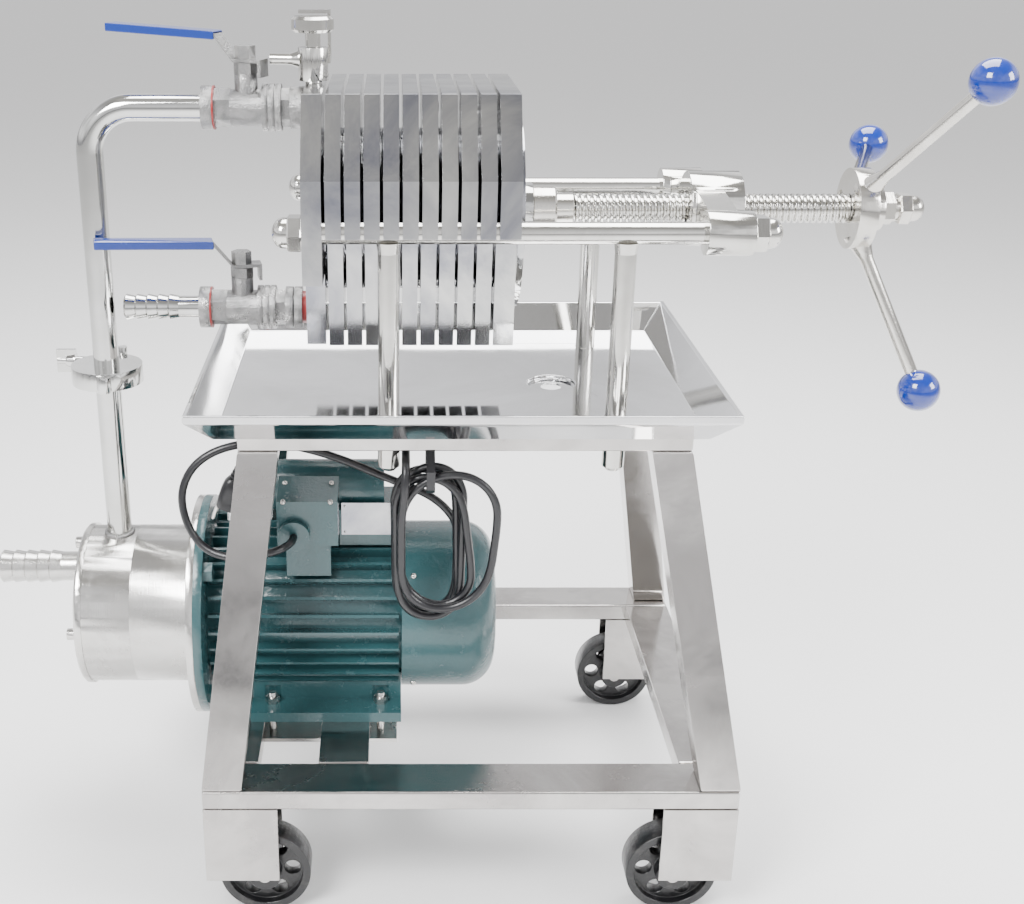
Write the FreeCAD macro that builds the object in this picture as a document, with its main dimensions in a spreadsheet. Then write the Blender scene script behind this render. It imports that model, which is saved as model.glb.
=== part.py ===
import FreeCAD, Part
import math
import os
import re
import Sketcher
from FreeCAD import Placement, Rotation, Vector

# Mobile plate filter press: a pack of filter plates on two guide rods, closed by a hand screw,
# over a drip tray on a wheeled stand that carries the feed pump and its motor.
# Millimetres. X runs along the guide rods towards the handwheel, Y to the rear, Z up from the floor.

os.makedirs("parts", exist_ok=True)
doc = FreeCAD.newDocument("PlateFilterPress")
sheet = doc.addObject("Spreadsheet::Sheet", "Sizes")

sizes = {
    # stand
    "baseLeft": -240.5, "baseRight": 276.0, "baseDepth": 430.0, "baseTop": 147.0,
    "baseBarWidth": 50.0, "baseBarHeight": 20.0, "motorBarShift": 117.0,
    "bracketWidth": 72.0, "bracketThickness": 3.0, "bracketDrop": 1.5,
    "wheelDiameter": 90.0, "wheelOffset": 21.0, "axleDiameter": 12.0,
    "hubDiameter": 32.0, "hubPlay": 2.0, "rimInset": 6.0, "rimDepth": 8.0, "webWidth": 12.0,
    "wheelHoleDiameter": 16.0, "wheelClearance": 0.1,
    "legWidth": 38.0, "legHeight": 317.0, "tableLeft": -202.0, "tableRight": 222.0,
    "railWidth": 40.0, "railHeight": 27.0,
    # drip tray
    "trayOverhangLeft": 39.6, "trayOverhangRight": 27.8, "trayDepth": 383.0, "trayHeight": 30.0,
    "traySlope": 23.0, "sheetThickness": 2.0, "hemHeight": 7.0,
    "drainX": 101.0, "drainY": -14.0, "drainDiameter": 20.0, "drainDishDiameter": 52.0, "drainDishDepth": 4.0,
    # guide rods, posts and crosshead
    "axisRise": 174.0, "rodSpacing": 220.0, "rodDiameter": 20.0, "rodEndDiameter": 16.0, "rodRun": 340.0,
    "postDiameter": 20.0, "postLeftX": -61.0, "postRightX": 151.0, "postFlareDiameter": 23.0, "postCope": 2.0,
    "nutAcross": 30.0, "nutHexLength": 13.0, "nutDomeLength": 14.0,
    "postNutLength": 21.0, "postNutDiameter": 21.0, "postNutDome": 4.0,
    "sideBossDiameter": 40.0, "sideBossLength": 42.0,
    "screwBossDiameter": 71.0, "screwBossLength": 50.0, "screwBossShift": 4.0,
    "webThickness": 26.0, "webMiddleHeight": 52.0, "webEndHeight": 24.0,
    # plate pack
    "packLeftX": -138.0, "headThickness": 18.0, "plateThickness": 14.0, "plateGap": 3.1,
    "followerThickness": 19.0, "plateCount": 9.0,
    "plateTopHalfWidth": 82.0, "plateTopHeight": 117.0, "shoulderHeight": 48.0, "earOverhang": 14.0,
    "earBottom": 3.0, "headEarBottom": 45.0, "bodyInset": 28.0, "bodyTaper": 8.0,
    "bodyBottom": 115.0, "headBodyWidthLoss": 4.0, "rodPlay": 0.25, "plateClearance": 0.3,
    "sealMargin": 6.0, "portHeight": 95.0, "outletDrop": 98.0, "portRadius": 6.0,
    "followerInset": 17.0, "followerDiscThickness": 6.0,
    "thrustBossDiameter": 50.0, "thrustBossLength": 14.0, "noseDiameter": 20.0, "noseLength": 12.0,
    "noseClearance": 0.06,
    # screw and handwheel
    "screwDiameter": 28.0, "screwPlay": 0.3, "screwLength": 305.0, "collarDiameter": 44.0, "collarLength": 23.0,
    "neckDiameter": 30.0, "neckLength": 17.0, "hubPlateDiameter": 77.0,
    "hubPlateThickness": 18.0, "hubBossDiameter": 42.0, "hubBossLength": 12.0,
    "capNutAcross": 27.0, "capNutHexLength": 12.0, "capNutDomeLength": 14.0,
    "armDiameter": 12.5, "armRootRadius": 24.0, "armRootDiameter": 26.0, "armRootLength": 27.0,
    "armSpread": 175.4, "armRake": 62.69, "armPhase": 11.5, "knobDiameter": 40.5,
    # pump and motor
    "shaftHeight": 92.0, "flangeGap": 7.5, "coverLength": 57.0, "casingLength": 62.0,
    "pumpDiameter": 167.0, "coverRimDiameter": 171.0, "coverRimThickness": 8.0,
    "coverStudDiameter": 12.0, "coverStudLength": 9.0, "coverStudRadius": 71.0,
    "flangeDiameter": 232.0, "pumpFlangeThickness": 7.0, "motorFlangeThickness": 9.0,
    "flangeBoltAcross": 19.0, "flangeBoltLength": 9.0, "flangeBoltRadius": 100.0,
    "inletOffset": 43.0, "inletLength": 90.0, "barbDiameter": 35.0, "inletBore": 24.0, "inletBoreDepth": 60.0,
    "motorLength": 200.0, "motorCoreDiameter": 152.0, "motorFloorGap": 4.0, "finCount": 30.0,
    "finThickness": 3.0, "fanCoverLength": 98.0, "fanCoverRound": 34.0,
    "footShift": 43.0, "footLength": 156.5, "footWidth": 184.0, "footThickness": 11.0, "pedestalWidth": 125.0,
    "stripShift": 54.0, "stripLength": 141.0, "stripWidth": 45.0, "stripThickness": 4.0,
    "boltShiftNear": 64.5, "boltShiftFar": 178.0, "footBoltY": 140.0, "footBoltDiameter": 8.0,
    "footNutAcross": 13.0, "footNutHeight": 7.0,
    "terminalShift": 75.0, "terminalWidth": 61.0, "terminalFrontY": -70.0, "terminalRearY": -27.0,
    "terminalRise": 100.0, "terminalHeight": 48.0, "terminalLidRise": 10.0, "terminalNeckInset": 8.0,
    "glandShift": 92.0, "glandRise": 113.0, "glandDiameter": 32.0, "glandLength": 8.0,
    "capacitorShift": 67.0, "capacitorLength": 115.0, "capacitorDiameter": 52.0, "capacitorRise": 138.0,
    "cradleShift": 136.0, "cradleLength": 62.0, "cradleWidth": 62.0, "cradleTopRise": 122.0,
    # piping
    "pipeDiameter": 25.4, "pipeShift": 38.0, "pipeBendRadius": 42.0, "ferruleRise": 260.0,
    "ferruleThickness": 6.5, "clampDiameter": 71.0, "clampHeight": 18.0, "ferruleDiameter": 50.5,
    "gasketThickness": 2.0, "clampLugThickness": 8.0, "clampLugGap": 8.0, "clampBoltY": 40.0,
    "clampBoltDiameter": 8.0, "wingNutLength": 20.0, "wingNutHeight": 24.0,
    "feedValveInset": 56.0, "outletValveInset": 67.0,
    "valveBodyDiameter": 34.0, "valveBodyLength": 30.0, "valveCollarDiameter": 43.5,
    "valveCollarLength": 18.0, "collarGrooveWidth": 1.6, "collarGrooveDepth": 1.5,
    "valveHexAcross": 31.0, "valveHexLength": 15.0, "unionDiameter": 40.6, "unionLength": 12.0,
    "unionGasketThickness": 1.5, "valveCoreDiameter": 25.0,
    "feedRingDiameter": 39.0, "feedRingLength": 15.0,
    "outletRingLength": 7.5, "outletRingGap": 1.5, "outletGasketDiameter": 32.0, "outletGasketLength": 8.0,
    "bonnetDiameter": 21.5, "bonnetHeight": 31.0, "packNutAcross": 19.0, "packNutHeight": 10.0,
    "stemDiameter": 9.0, "stemHeight": 49.0, "leverGap": 0.3, "topNutAcross": 17.0, "topNutHeight": 12.0,
    "topNutDepth": 6.5, "leverWidth": 18.0, "leverThickness": 3.0, "leverTail": 19.0, "leverTabDrop": 13.0,
    "leverCrank": 27.0, "leverRise": 22.0, "leverClimb": 5.0, "leverReach": 138.0, "stemPlay": 0.1,
    "gripThickness": 7.5, "gripWidth": 20.0, "feedLeverAngle": -19.0, "outletLeverAngle": 12.0,
    "outletBarbDiameter": 26.0, "outletBarbLength": 75.0, "outletBore": 17.0, "outletBoreDepth": 55.0,
    # vent cock
    "ventInset": 7.0, "ventNeckDiameter": 16.0, "ventNeckHeight": 3.0, "ventBodyDiameter": 28.0,
    "ventBodyHeight": 29.5, "ventStemDiameter": 14.0, "ventStemHeight": 13.5, "ventKnobDiameter": 39.5,
    "ventKnobHeight": 14.0, "ventKnobBevel": 2.5, "ventStemGap": 0.3,
    "spoutDiameter": 10.0, "spoutLength": 26.0, "spoutHeight": 22.0, "spoutFlare": 17.0, "spoutFlareLength": 7.0,
    "strapThickness": 3.0, "strapWidth": 10.0, "strapLength": 30.0, "strapY": 17.0, "strapX": 16.0,
    "strapGap": 1.0,
    # motor lead
    "leadDiameter": 8.0, "hankFrontY": -126.0, "hankThickness": 32.0,
    "plugReliefLength": 16.0, "plugReliefDiameter": 10.0, "plugNeckDiameter": 17.0,
    "plugLength": 34.0, "plugWidth": 25.0, "plugThickness": 19.0,
}

# Sizes that follow from the ones above.
derived = {
    "tableTop": "baseTop + legHeight + railHeight",
    "axisHeight": "tableTop + axisRise",
    "pumpAxisHeight": "baseTop + shaftHeight",
    "finDiameter": "2 * (shaftHeight - motorFloorGap)",
    "motorX": "baseLeft - flangeGap",
    "flangeX": "motorX - motorFlangeThickness",
    "pumpLeftX": "flangeX - pumpFlangeThickness - casingLength - coverLength",
    "motorBarLeft": "motorX + motorBarShift",
    "bracketBottom": "wheelDiameter / 2 - bracketDrop",
    "hubWidth": "baseBarWidth - 2 * bracketThickness - 2 * hubPlay",
    "wheelWidth": "hubWidth - 2 * rimInset",
    "wheelHoleCircle": "(hubDiameter + wheelDiameter - 2 * rimDepth) / 2",
    "trayLeft": "tableLeft - trayOverhangLeft",
    "trayRight": "tableRight + trayOverhangRight",
    "crossheadX": "packLeftX + headThickness + rodRun",
    "earHalfWidth": "rodSpacing / 2 + earOverhang",
    "bodyHalfWidth": "rodSpacing / 2 - bodyInset",
    "bodyBottomHalfWidth": "bodyHalfWidth - bodyTaper",
    "sealRadius": "bodyHalfWidth - sealMargin",
    "followerDiscRadius": "rodSpacing / 2 - followerInset",
    "followerX": "packLeftX + headThickness + (plateCount + 1) * plateGap + plateCount * plateThickness",
    "screwX": "followerX + followerThickness + followerDiscThickness + thrustBossLength + noseClearance",
    "hubPlateX": "screwX + screwLength",
    "pipeX": "pumpLeftX + pipeShift",
    "ferruleHeight": "pumpAxisHeight + ferruleRise",
    "feedValveX": "packLeftX - feedValveInset",
    "outletValveX": "packLeftX - outletValveInset",
    "valveLeftReach": "valveBodyLength / 2 + valveHexLength + unionLength",
    "feedHeight": "axisHeight + portHeight",
    "outletHeight": "axisHeight - outletDrop",
    "ventX": "packLeftX + ventInset",
    "railBottom": "tableTop - railHeight",
}

for row, (name, value) in enumerate(sizes.items(), 1):
    sheet.set(f"A{row}", name)
    sheet.set(f"B{row}", str(value))
    sheet.setAlias(f"B{row}", name)
doc.recompute()

nodes = {}


def bound(expression):
    """Writes an expression in size names as one that reads the sheet."""
    def cell(word):
        name = word.group()
        if name in derived:
            return "(" + bound(derived[name]) + ")"
        return "Sizes." + name if name in sizes else name
    return re.sub(r"[A-Za-z]+", cell, str(expression))


def number(expression):
    return float(sheet.evalExpression(bound(expression)))


def bind(target, **expressions):
    for key, expression in expressions.items():
        target.setExpression(key, bound(expression))


def place(target, x=0, y=0, z=0, turn=None):
    if turn:
        target.Placement = Placement(Vector(), Rotation(Vector(*turn[:3]), turn[3]))
    for axis, expression in zip("xyz", (x, y, z)):
        target.setExpression("Placement.Base." + axis, bound(expression))
    return target


def keep(label, target):
    """Makes an object the sub-part of that name."""
    target.Label = label
    nodes[label] = target
    return target


# --- Part primitives ---------------------------------------------------------------------------

def box(name, length, width, height, x, y, z):
    target = doc.addObject("Part::Box", name)
    bind(target, Length=length, Width=width, Height=height)
    return place(target, x, y, z)


def rod(name, diameter, height, x, y, z, turn=None):
    target = doc.addObject("Part::Cylinder", name)
    bind(target, Radius=f"({diameter}) / 2", Height=height)
    return place(target, x, y, z, turn)


def hexagon(name, across, height, x, y, z, turn=None):
    target = doc.addObject("Part::Prism", name)
    target.Polygon = 6
    bind(target, Circumradius=f"({across}) / sqrt(3)", Height=height)
    return place(target, x, y, z, turn)


def cone(name, bottom, top, height, x, y, z, turn=None):
    target = doc.addObject("Part::Cone", name)
    bind(target, Radius1=f"({bottom}) / 2", Radius2=f"({top}) / 2", Height=height)
    return place(target, x, y, z, turn)


def fused(name, *shapes):
    target = doc.addObject("Part::MultiFuse", name)
    target.Shapes = list(shapes)
    return target


def cut(name, base, tool):
    target = doc.addObject("Part::Cut", name)
    target.Base, target.Tool = base, tool
    return target


def grouped(name, *shapes):
    target = doc.addObject("Part::Compound", name)
    target.Links = list(shapes)
    return target


def mirrored(name, source, normal=(0, 1, 0)):
    target = doc.addObject("Part::Mirroring", name)
    target.Source, target.Normal = source, Vector(*normal)
    return target


# --- PartDesign bodies -------------------------------------------------------------------------

def body(label):
    return doc.addObject("PartDesign::Body", label)


def sketch(owner, plane, offset=0):
    target = owner.newObject("Sketcher::SketchObject", owner.Name + "Sketch")
    origin_plane = next(feature for feature in owner.Origin.OriginFeatures if feature.Role == plane)
    target.AttachmentSupport = (origin_plane, [""])
    target.MapMode = "FlatFace"
    target.setExpression("AttachmentOffset.Base.z", bound(offset))
    return target


def outline(target, corners, arcs=None):
    """Draws a closed loop whose corners are held by named dimensions; arcs bulge through a radius."""
    arcs = arcs or {}
    first = target.GeometryCount
    points = [Vector(number(x), number(y), 0) for x, y in corners]
    count = len(points)
    for index, start in enumerate(points):
        end = points[(index + 1) % count]
        if index in arcs:
            radius, side = number(arcs[index][0]), arcs[index][1]
            chord = end - start
            middle = (start + end) * 0.5
            across = Vector(-chord.y, chord.x, 0).normalize()
            rise = math.sqrt(max(radius ** 2 - (chord.Length / 2) ** 2, 0))
            centre = middle + across * rise * side
            crown = centre - across * radius * side
            ends = (start, end) if side > 0 else (end, start)
            target.addGeometry(Part.Arc(ends[0], crown, ends[1]))
        else:
            target.addGeometry(Part.LineSegment(start, end))
    for index in range(count):
        here, after = first + index, first + (index + 1) % count
        reverse_here = index in arcs and arcs[index][1] < 0
        reverse_after = (index + 1) % count in arcs and arcs[(index + 1) % count][1] < 0
        target.addConstraint(Sketcher.Constraint("Coincident", here, 1 if reverse_here else 2,
                                                 after, 2 if reverse_after else 1))
    for index, (x, y) in enumerate(corners):
        point = 2 if index in arcs and arcs[index][1] < 0 else 1
        for kind, tag, expression in (("DistanceX", "x", x), ("DistanceY", "y", y)):
            dimension = Sketcher.Constraint(kind, -1, 1, first + index, point, number(expression))
            position = target.addConstraint(dimension)
            target.renameConstraint(position, f"{tag}{first + index}")
            target.setExpression(f"Constraints.{tag}{first + index}", bound(expression))
    for index, (radius, side, *centre) in arcs.items():
        if centre:
            dimension = Sketcher.Constraint("DistanceY", -1, 1, first + index, 3, number(centre[0]))
        else:
            dimension = Sketcher.Constraint("Radius", first + index, number(radius))
        position = target.addConstraint(dimension)
        target.renameConstraint(position, f"arc{first + index}")
        target.setExpression(f"Constraints.arc{first + index}", bound(centre[0] if centre else radius))
    return target


def circle(target, x, y, diameter):
    index = target.addGeometry(Part.Circle(Vector(number(x), number(y), 0), Vector(0, 0, 1),
                                           number(diameter) / 2))
    for kind, tag, expression in (("DistanceX", "x", x), ("DistanceY", "y", y)):
        position = target.addConstraint(Sketcher.Constraint(kind, -1, 1, index, 3, number(expression)))
        target.renameConstraint(position, f"{tag}{index}")
        target.setExpression(f"Constraints.{tag}{index}", bound(expression))
    position = target.addConstraint(Sketcher.Constraint("Diameter", index, number(diameter)))
    target.renameConstraint(position, f"diameter{index}")
    target.setExpression(f"Constraints.diameter{index}", bound(diameter))
    return target


def pad(owner, profile, length, reverse=False):
    feature = owner.newObject("PartDesign::Pad", owner.Name + "Pad")
    feature.Profile = profile
    feature.Reversed = reverse
    feature.setExpression("Length", bound(length))
    return feature


def pocket(owner, profile, length, reverse=False):
    feature = owner.newObject("PartDesign::Pocket", owner.Name + "Pocket")
    feature.Profile = profile
    feature.Reversed = reverse
    feature.setExpression("Length", bound(length))
    return feature


def turned(label, steps, x=0, y=0, z=0, turn=None, arcs=None):
    """A body of revolution about its own X axis; steps are (distance along, diameter)."""
    target = body(label)
    corners = [(along, f"({diameter}) / 2") for along, diameter in steps]
    profile = outline(sketch(target, "XY_Plane"), corners, arcs)
    feature = target.newObject("PartDesign::Revolution", target.Name + "Revolution")
    feature.Profile = profile
    feature.ReferenceAxis = (profile, ["H_Axis"])
    feature.Angle = 360
    return place(target, x, y, z, turn)


# --- stand -------------------------------------------------------------------------------------

def make_base():
    length = "baseRight - baseLeft"
    front = box("BaseFront", length, "baseBarWidth", "baseBarHeight",
                "baseLeft", "-baseDepth / 2", "baseTop - baseBarHeight")
    rear = box("BaseRear", length, "baseBarWidth", "baseBarHeight",
               "baseLeft", "baseDepth / 2 - baseBarWidth", "baseTop - baseBarHeight")
    keep("base_long_bars", grouped("BaseLongBars", front, rear))
    between = "baseDepth - 2 * baseBarWidth"
    sides = [box("BaseSide", "baseBarWidth", between, "baseBarHeight", x,
                 "baseBarWidth - baseDepth / 2", "baseTop - baseBarHeight")
             for x in ("baseLeft", "baseRight - baseBarWidth")]
    keep("base_side_bars", grouped("BaseSideBars", *sides))
    keep("motor_cross_bar", box("MotorCrossBar", "baseBarWidth", between, "baseBarHeight", "motorBarLeft",
                                "baseBarWidth - baseDepth / 2", "baseTop - baseBarHeight"))


corners = {
    "front_left": ("baseLeft", "baseLeft + bracketWidth / 2 + wheelOffset", -1),
    "front_right": ("baseRight - bracketWidth", "baseRight - bracketWidth / 2 - wheelOffset", -1),
    "rear_left": ("baseLeft", "baseLeft + bracketWidth / 2 + wheelOffset", 1),
    "rear_right": ("baseRight - bracketWidth", "baseRight - bracketWidth / 2 - wheelOffset", 1),
}


def make_brackets():
    plates, pins = [], []
    height = "baseTop - baseBarHeight - bracketBottom"
    inner = "baseDepth / 2 - baseBarWidth"
    outer = "baseDepth / 2 - bracketThickness"
    gap = "baseBarWidth - 2 * bracketThickness"
    for left, wheel_x, side in corners.values():
        for edge in (inner, outer):
            y = edge if side > 0 else f"-({edge}) - bracketThickness"
            plates.append(box("BracketPlate", "bracketWidth", "bracketThickness", height,
                              left, y, "bracketBottom"))
        y = f"{inner} + bracketThickness" if side > 0 else f"-({outer})"
        pins.append(rod("Axle", "axleDiameter", gap, wheel_x, y, "wheelDiameter / 2", (1, 0, 0, -90)))
    keep("wheel_brackets", grouped("WheelBrackets", *plates))
    keep("wheel_axles", grouped("WheelAxles", *pins))


def make_wheel(label, wheel_x, side):
    steps = [("-hubWidth / 2", "axleDiameter + 2 * wheelClearance"),
             ("-hubWidth / 2", "hubDiameter"), ("-webWidth / 2", "hubDiameter"),
             ("-webWidth / 2", "wheelDiameter - 2 * rimDepth"), ("-wheelWidth / 2", "wheelDiameter - 2 * rimDepth"),
             ("-wheelWidth / 2", "wheelDiameter"), ("wheelWidth / 2", "wheelDiameter"),
             ("wheelWidth / 2", "wheelDiameter - 2 * rimDepth"), ("webWidth / 2", "wheelDiameter - 2 * rimDepth"),
             ("webWidth / 2", "hubDiameter"), ("hubWidth / 2", "hubDiameter"),
             ("hubWidth / 2", "axleDiameter + 2 * wheelClearance")]
    y = f"{side} * (baseDepth - baseBarWidth) / 2"
    target = turned(label, steps, wheel_x, y, "wheelDiameter / 2", (0, 0, 1, 90))
    holes = circle(sketch(target, "YZ_Plane", "-webWidth"), "wheelHoleCircle / 2", 0, "wheelHoleDiameter")
    hole = pocket(target, holes, "2 * webWidth", True)
    doc.recompute()
    pattern = target.newObject("PartDesign::PolarPattern", "WheelHoles")
    pattern.Originals = [hole]
    pattern.Axis = (holes, ["N_Axis"])
    pattern.Angle = 360
    pattern.Occurrences = 6
    target.Tip = pattern
    keep(label, target)


def make_leg(name, foot_x, head_x):
    """A square leg that splays outwards both ways, lofted from the base to the table rail."""
    target = body(name)
    levels = (("baseTop", foot_x, "baseDepth / 2"), ("tableTop - railHeight", head_x, "rodSpacing / 2 + railWidth / 2"))
    profiles = []
    for level, x, y in levels:
        square = outline(sketch(target, "XY_Plane", level), [
            (x, f"-({y})"), (f"{x} + legWidth", f"-({y})"),
            (f"{x} + legWidth", f"legWidth - ({y})"), (x, f"legWidth - ({y})")])
        profiles.append(square)
    loft = target.newObject("PartDesign::AdditiveLoft", name + "Loft")
    loft.Profile = profiles[0]
    loft.Sections = [profiles[1]]
    loft.Ruled = True
    return target


def make_legs():
    left = make_leg("LegLeft", "baseLeft", "tableLeft")
    right = make_leg("LegRight", "baseRight - legWidth", "tableRight - legWidth")
    keep("legs", grouped("Legs", left, right, mirrored("LegLeftRear", left), mirrored("LegRightRear", right)))


def make_table():
    holes = [rod("PostHole", "postDiameter", "2 * railHeight", x, f"{side} * rodSpacing / 2",
                 "tableTop - 1.5 * railHeight") for x in ("postLeftX", "postRightX") for side in (-1, 1)]
    long_rails = [box("TableRail", "tableRight - tableLeft", "railWidth", "railHeight", "tableLeft",
                      f"{side} * rodSpacing / 2 - railWidth / 2", "tableTop - railHeight") for side in (-1, 1)]
    keep("table_long_rails", cut("TableLongRails", grouped("RailPair", *long_rails), grouped("PostHoles", *holes)))
    end_rails = [box("EndRail", "railWidth", "rodSpacing - railWidth", "railHeight", x,
                     "railWidth / 2 - rodSpacing / 2", "tableTop - railHeight")
                 for x in ("tableLeft", "tableRight - railWidth")]
    keep("table_end_rails", grouped("TableEndRails", *end_rails))


def rectangle(x_low, x_high, half_depth):
    return [(x_low, f"-({half_depth})"), (x_high, f"-({half_depth})"), (x_high, half_depth), (x_low, half_depth)]


def make_tray():
    """Folded sheet tray: floor, four sloping sides and a turned-down hem, with a dished drain."""
    target = body("DripTray")
    hem = outline(sketch(target, "XY_Plane", "tableTop + trayHeight - hemHeight"),
                  rectangle("trayLeft", "trayRight", "trayDepth / 2"))
    pad(target, hem, "hemHeight")
    floor = outline(sketch(target, "XY_Plane", "tableTop"),
                    rectangle("trayLeft + traySlope", "trayRight - traySlope", "trayDepth / 2 - traySlope"))
    rim = outline(sketch(target, "XY_Plane", "tableTop + trayHeight - hemHeight"),
                  rectangle("trayLeft", "trayRight", "trayDepth / 2"))
    shell = target.newObject("PartDesign::AdditiveLoft", "TrayOutside")
    shell.Profile = floor
    shell.Sections = [rim]
    shell.Ruled = True
    inner_floor = outline(sketch(target, "XY_Plane", "tableTop + sheetThickness"),
                          rectangle("trayLeft + traySlope + sheetThickness", "trayRight - traySlope - sheetThickness",
                                    "trayDepth / 2 - traySlope - sheetThickness"))
    inner_rim = outline(sketch(target, "XY_Plane", "tableTop + trayHeight"),
                        rectangle("trayLeft + 2 * sheetThickness", "trayRight - 2 * sheetThickness",
                                  "trayDepth / 2 - 2 * sheetThickness"))
    hollow = target.newObject("PartDesign::SubtractiveLoft", "TrayInside")
    hollow.Profile = inner_floor
    hollow.Sections = [inner_rim]
    hollow.Ruled = True
    dish = circle(sketch(target, "XY_Plane", "tableTop - drainDishDepth"), "drainX", "drainY", "drainDishDiameter")
    pad(target, dish, "drainDishDepth + sheetThickness")
    well = circle(sketch(target, "XY_Plane", "tableTop - drainDishDepth + sheetThickness"), "drainX", "drainY",
                  "drainDishDiameter - 2 * sheetThickness")
    pocket(target, well, "2 * drainDishDepth", True)
    openings = sketch(target, "XY_Plane", "tableTop - drainDishDepth")
    circle(openings, "drainX", "drainY", "drainDiameter")
    for x in ("postLeftX", "postRightX"):
        for side in (-1, 1):
            circle(openings, x, f"{side} * rodSpacing / 2", "postDiameter")
    pocket(target, openings, "2 * trayHeight", True)
    keep("drip_tray", target)


# --- guide rods, posts and crosshead -----------------------------------------------------------

def make_rods():
    start = "-headThickness - nutHexLength"
    run = "crossheadX - packLeftX - headThickness"
    end = f"{run} + sideBossLength + nutHexLength"
    steps = [(start, 0), (start, "rodEndDiameter"), (0, "rodEndDiameter"), (0, "rodDiameter"),
             (run, "rodDiameter"), (run, "rodEndDiameter"), (end, "rodEndDiameter"), (end, 0)]
    rods = [turned("GuideRod", steps, "packLeftX + headThickness", f"{side} * rodSpacing / 2", "axisHeight")
            for side in (-1, 1)]
    keep("guide_rods", grouped("GuideRods", *rods))


def make_posts():
    """Each post is coped to the rod above it and ends in a round nut under the table rail."""
    posts = []
    bottom = "railBottom - postNutLength"
    for x in ("postLeftX", "postRightX"):
        for side in (-1, 1):
            y = f"{side} * rodSpacing / 2"
            stem = rod("PostStem", "postDiameter", f"axisHeight - ({bottom})", x, y, bottom)
            flare = cone("PostFlare", "postDiameter", "postFlareDiameter", "postDiameter / 2", x, y,
                         "axisHeight - rodDiameter / 2 - postDiameter / 2 + postCope")
            foot = rod("PostFoot", "postNutDiameter", "postNutLength", x, y, bottom)
            dome = cone("PostDome", "postNutDiameter - 2 * postNutDome", "postNutDiameter", "postNutDome", x, y,
                        f"{bottom} - postNutDome")
            saddle = rod("PostSaddle", "rodDiameter", "4 * postDiameter", f"{x} - 2 * postDiameter", y,
                         "axisHeight", (0, 1, 0, 90))
            above = box("PostAbove", "4 * postDiameter", "2 * postDiameter", "2 * postDiameter",
                        f"{x} - 2 * postDiameter", f"{y} - postDiameter", "axisHeight - rodDiameter / 2 + postCope")
            posts.append(cut("Post", fused("PostBlank", stem, flare, foot, dome), fused("PostTop", saddle, above)))
    keep("posts", grouped("Posts", *posts))


def cap_nut(name, x, y, z, across, hex_length, dome_length, bore, facing=1):
    """A hexagon with a domed cap, bored for the threaded end it closes."""
    turn = (0, 1, 0, 90 * facing)
    hexagonal = hexagon(name + "Hex", across, hex_length, x, y, z, turn)
    dome = turned(name + "Dome", [(0, 0), (0, f"({across}) - 3"), (f"({dome_length}) / 2", f"({across}) - 3"),
                                  (dome_length, f"({across}) / 3"), (dome_length, 0)],
                  f"{x} + {facing} * ({hex_length})", y, z, (0, 0, 1, 0 if facing > 0 else 180))
    blank = fused(name + "Blank", hexagonal, dome)
    if not bore:
        return blank
    return cut(name, blank, rod(name + "Bore", bore, hex_length, x, y, z, turn))


def make_rod_nuts():
    nuts = []
    for side in (-1, 1):
        y = f"{side} * rodSpacing / 2"
        for x, facing in (("packLeftX", -1), ("crossheadX + sideBossLength", 1)):
            nuts.append(cap_nut("RodNut", x, y, "axisHeight", "nutAcross", "nutHexLength", "nutDomeLength",
                                "rodEndDiameter", facing))
    keep("rod_nuts", grouped("RodNuts", *nuts))


def make_crosshead():
    along_x = (0, 1, 0, 90)
    bosses = [rod("SideBoss", "sideBossDiameter", "sideBossLength", "crossheadX", f"{side} * rodSpacing / 2",
                  "axisHeight", along_x) for side in (-1, 1)]
    centre = rod("ScrewBoss", "screwBossDiameter", "screwBossLength", "crossheadX + screwBossShift", 0,
                 "axisHeight", along_x)
    web = body("Web")
    right = [("rodSpacing / 2", "-webEndHeight / 2"), ("rodSpacing / 2", "webEndHeight / 2"),
             (0, "webMiddleHeight / 2")]
    left = [("-rodSpacing / 2", "webEndHeight / 2"), ("-rodSpacing / 2", "-webEndHeight / 2"),
            (0, "-webMiddleHeight / 2")]
    pad(web, outline(sketch(web, "YZ_Plane"), right + left), "webThickness")
    place(web, "crossheadX + (sideBossLength - webThickness) / 2", 0, "axisHeight")
    bores = [rod("RodBore", "rodEndDiameter", "sideBossLength * 2", "crossheadX - sideBossLength / 2",
                 f"{side} * rodSpacing / 2", "axisHeight", along_x) for side in (-1, 1)]
    screw_bore = rod("ScrewBore", "screwDiameter + 2 * screwPlay", "2 * screwBossLength",
                     "crossheadX - screwBossLength / 2", 0, "axisHeight", along_x)
    keep("crosshead", cut("Crosshead", fused("CrossheadBlank", centre, web, *bosses),
                          fused("CrossheadBores", screw_bore, *bores)))


# --- plate pack --------------------------------------------------------------------------------

def plate_profile(target, offset=0):
    """Outline of a plate that hangs by two hooked ears on the guide rods."""
    notch = "rodDiameter / 2 + rodPlay"
    rod_y = "rodSpacing / 2"
    low = "-earBottom"
    right = [("plateTopHalfWidth", "plateTopHeight"), ("earHalfWidth", "shoulderHeight"), ("earHalfWidth", low),
             (f"{rod_y} + {notch}", low), (f"{rod_y} + {notch}", 0), (f"{rod_y} - ({notch})", 0),
             (f"{rod_y} - ({notch})", low), ("bodyHalfWidth", low), ("bodyBottomHalfWidth", "-bodyBottom")]
    left = [(f"-({y})", z) for y, z in reversed(right)]
    arcs = {4: (notch, 1, 0), 12: (notch, 1, 0)}
    return outline(sketch(target, "YZ_Plane", offset), right + left, arcs)


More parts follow.
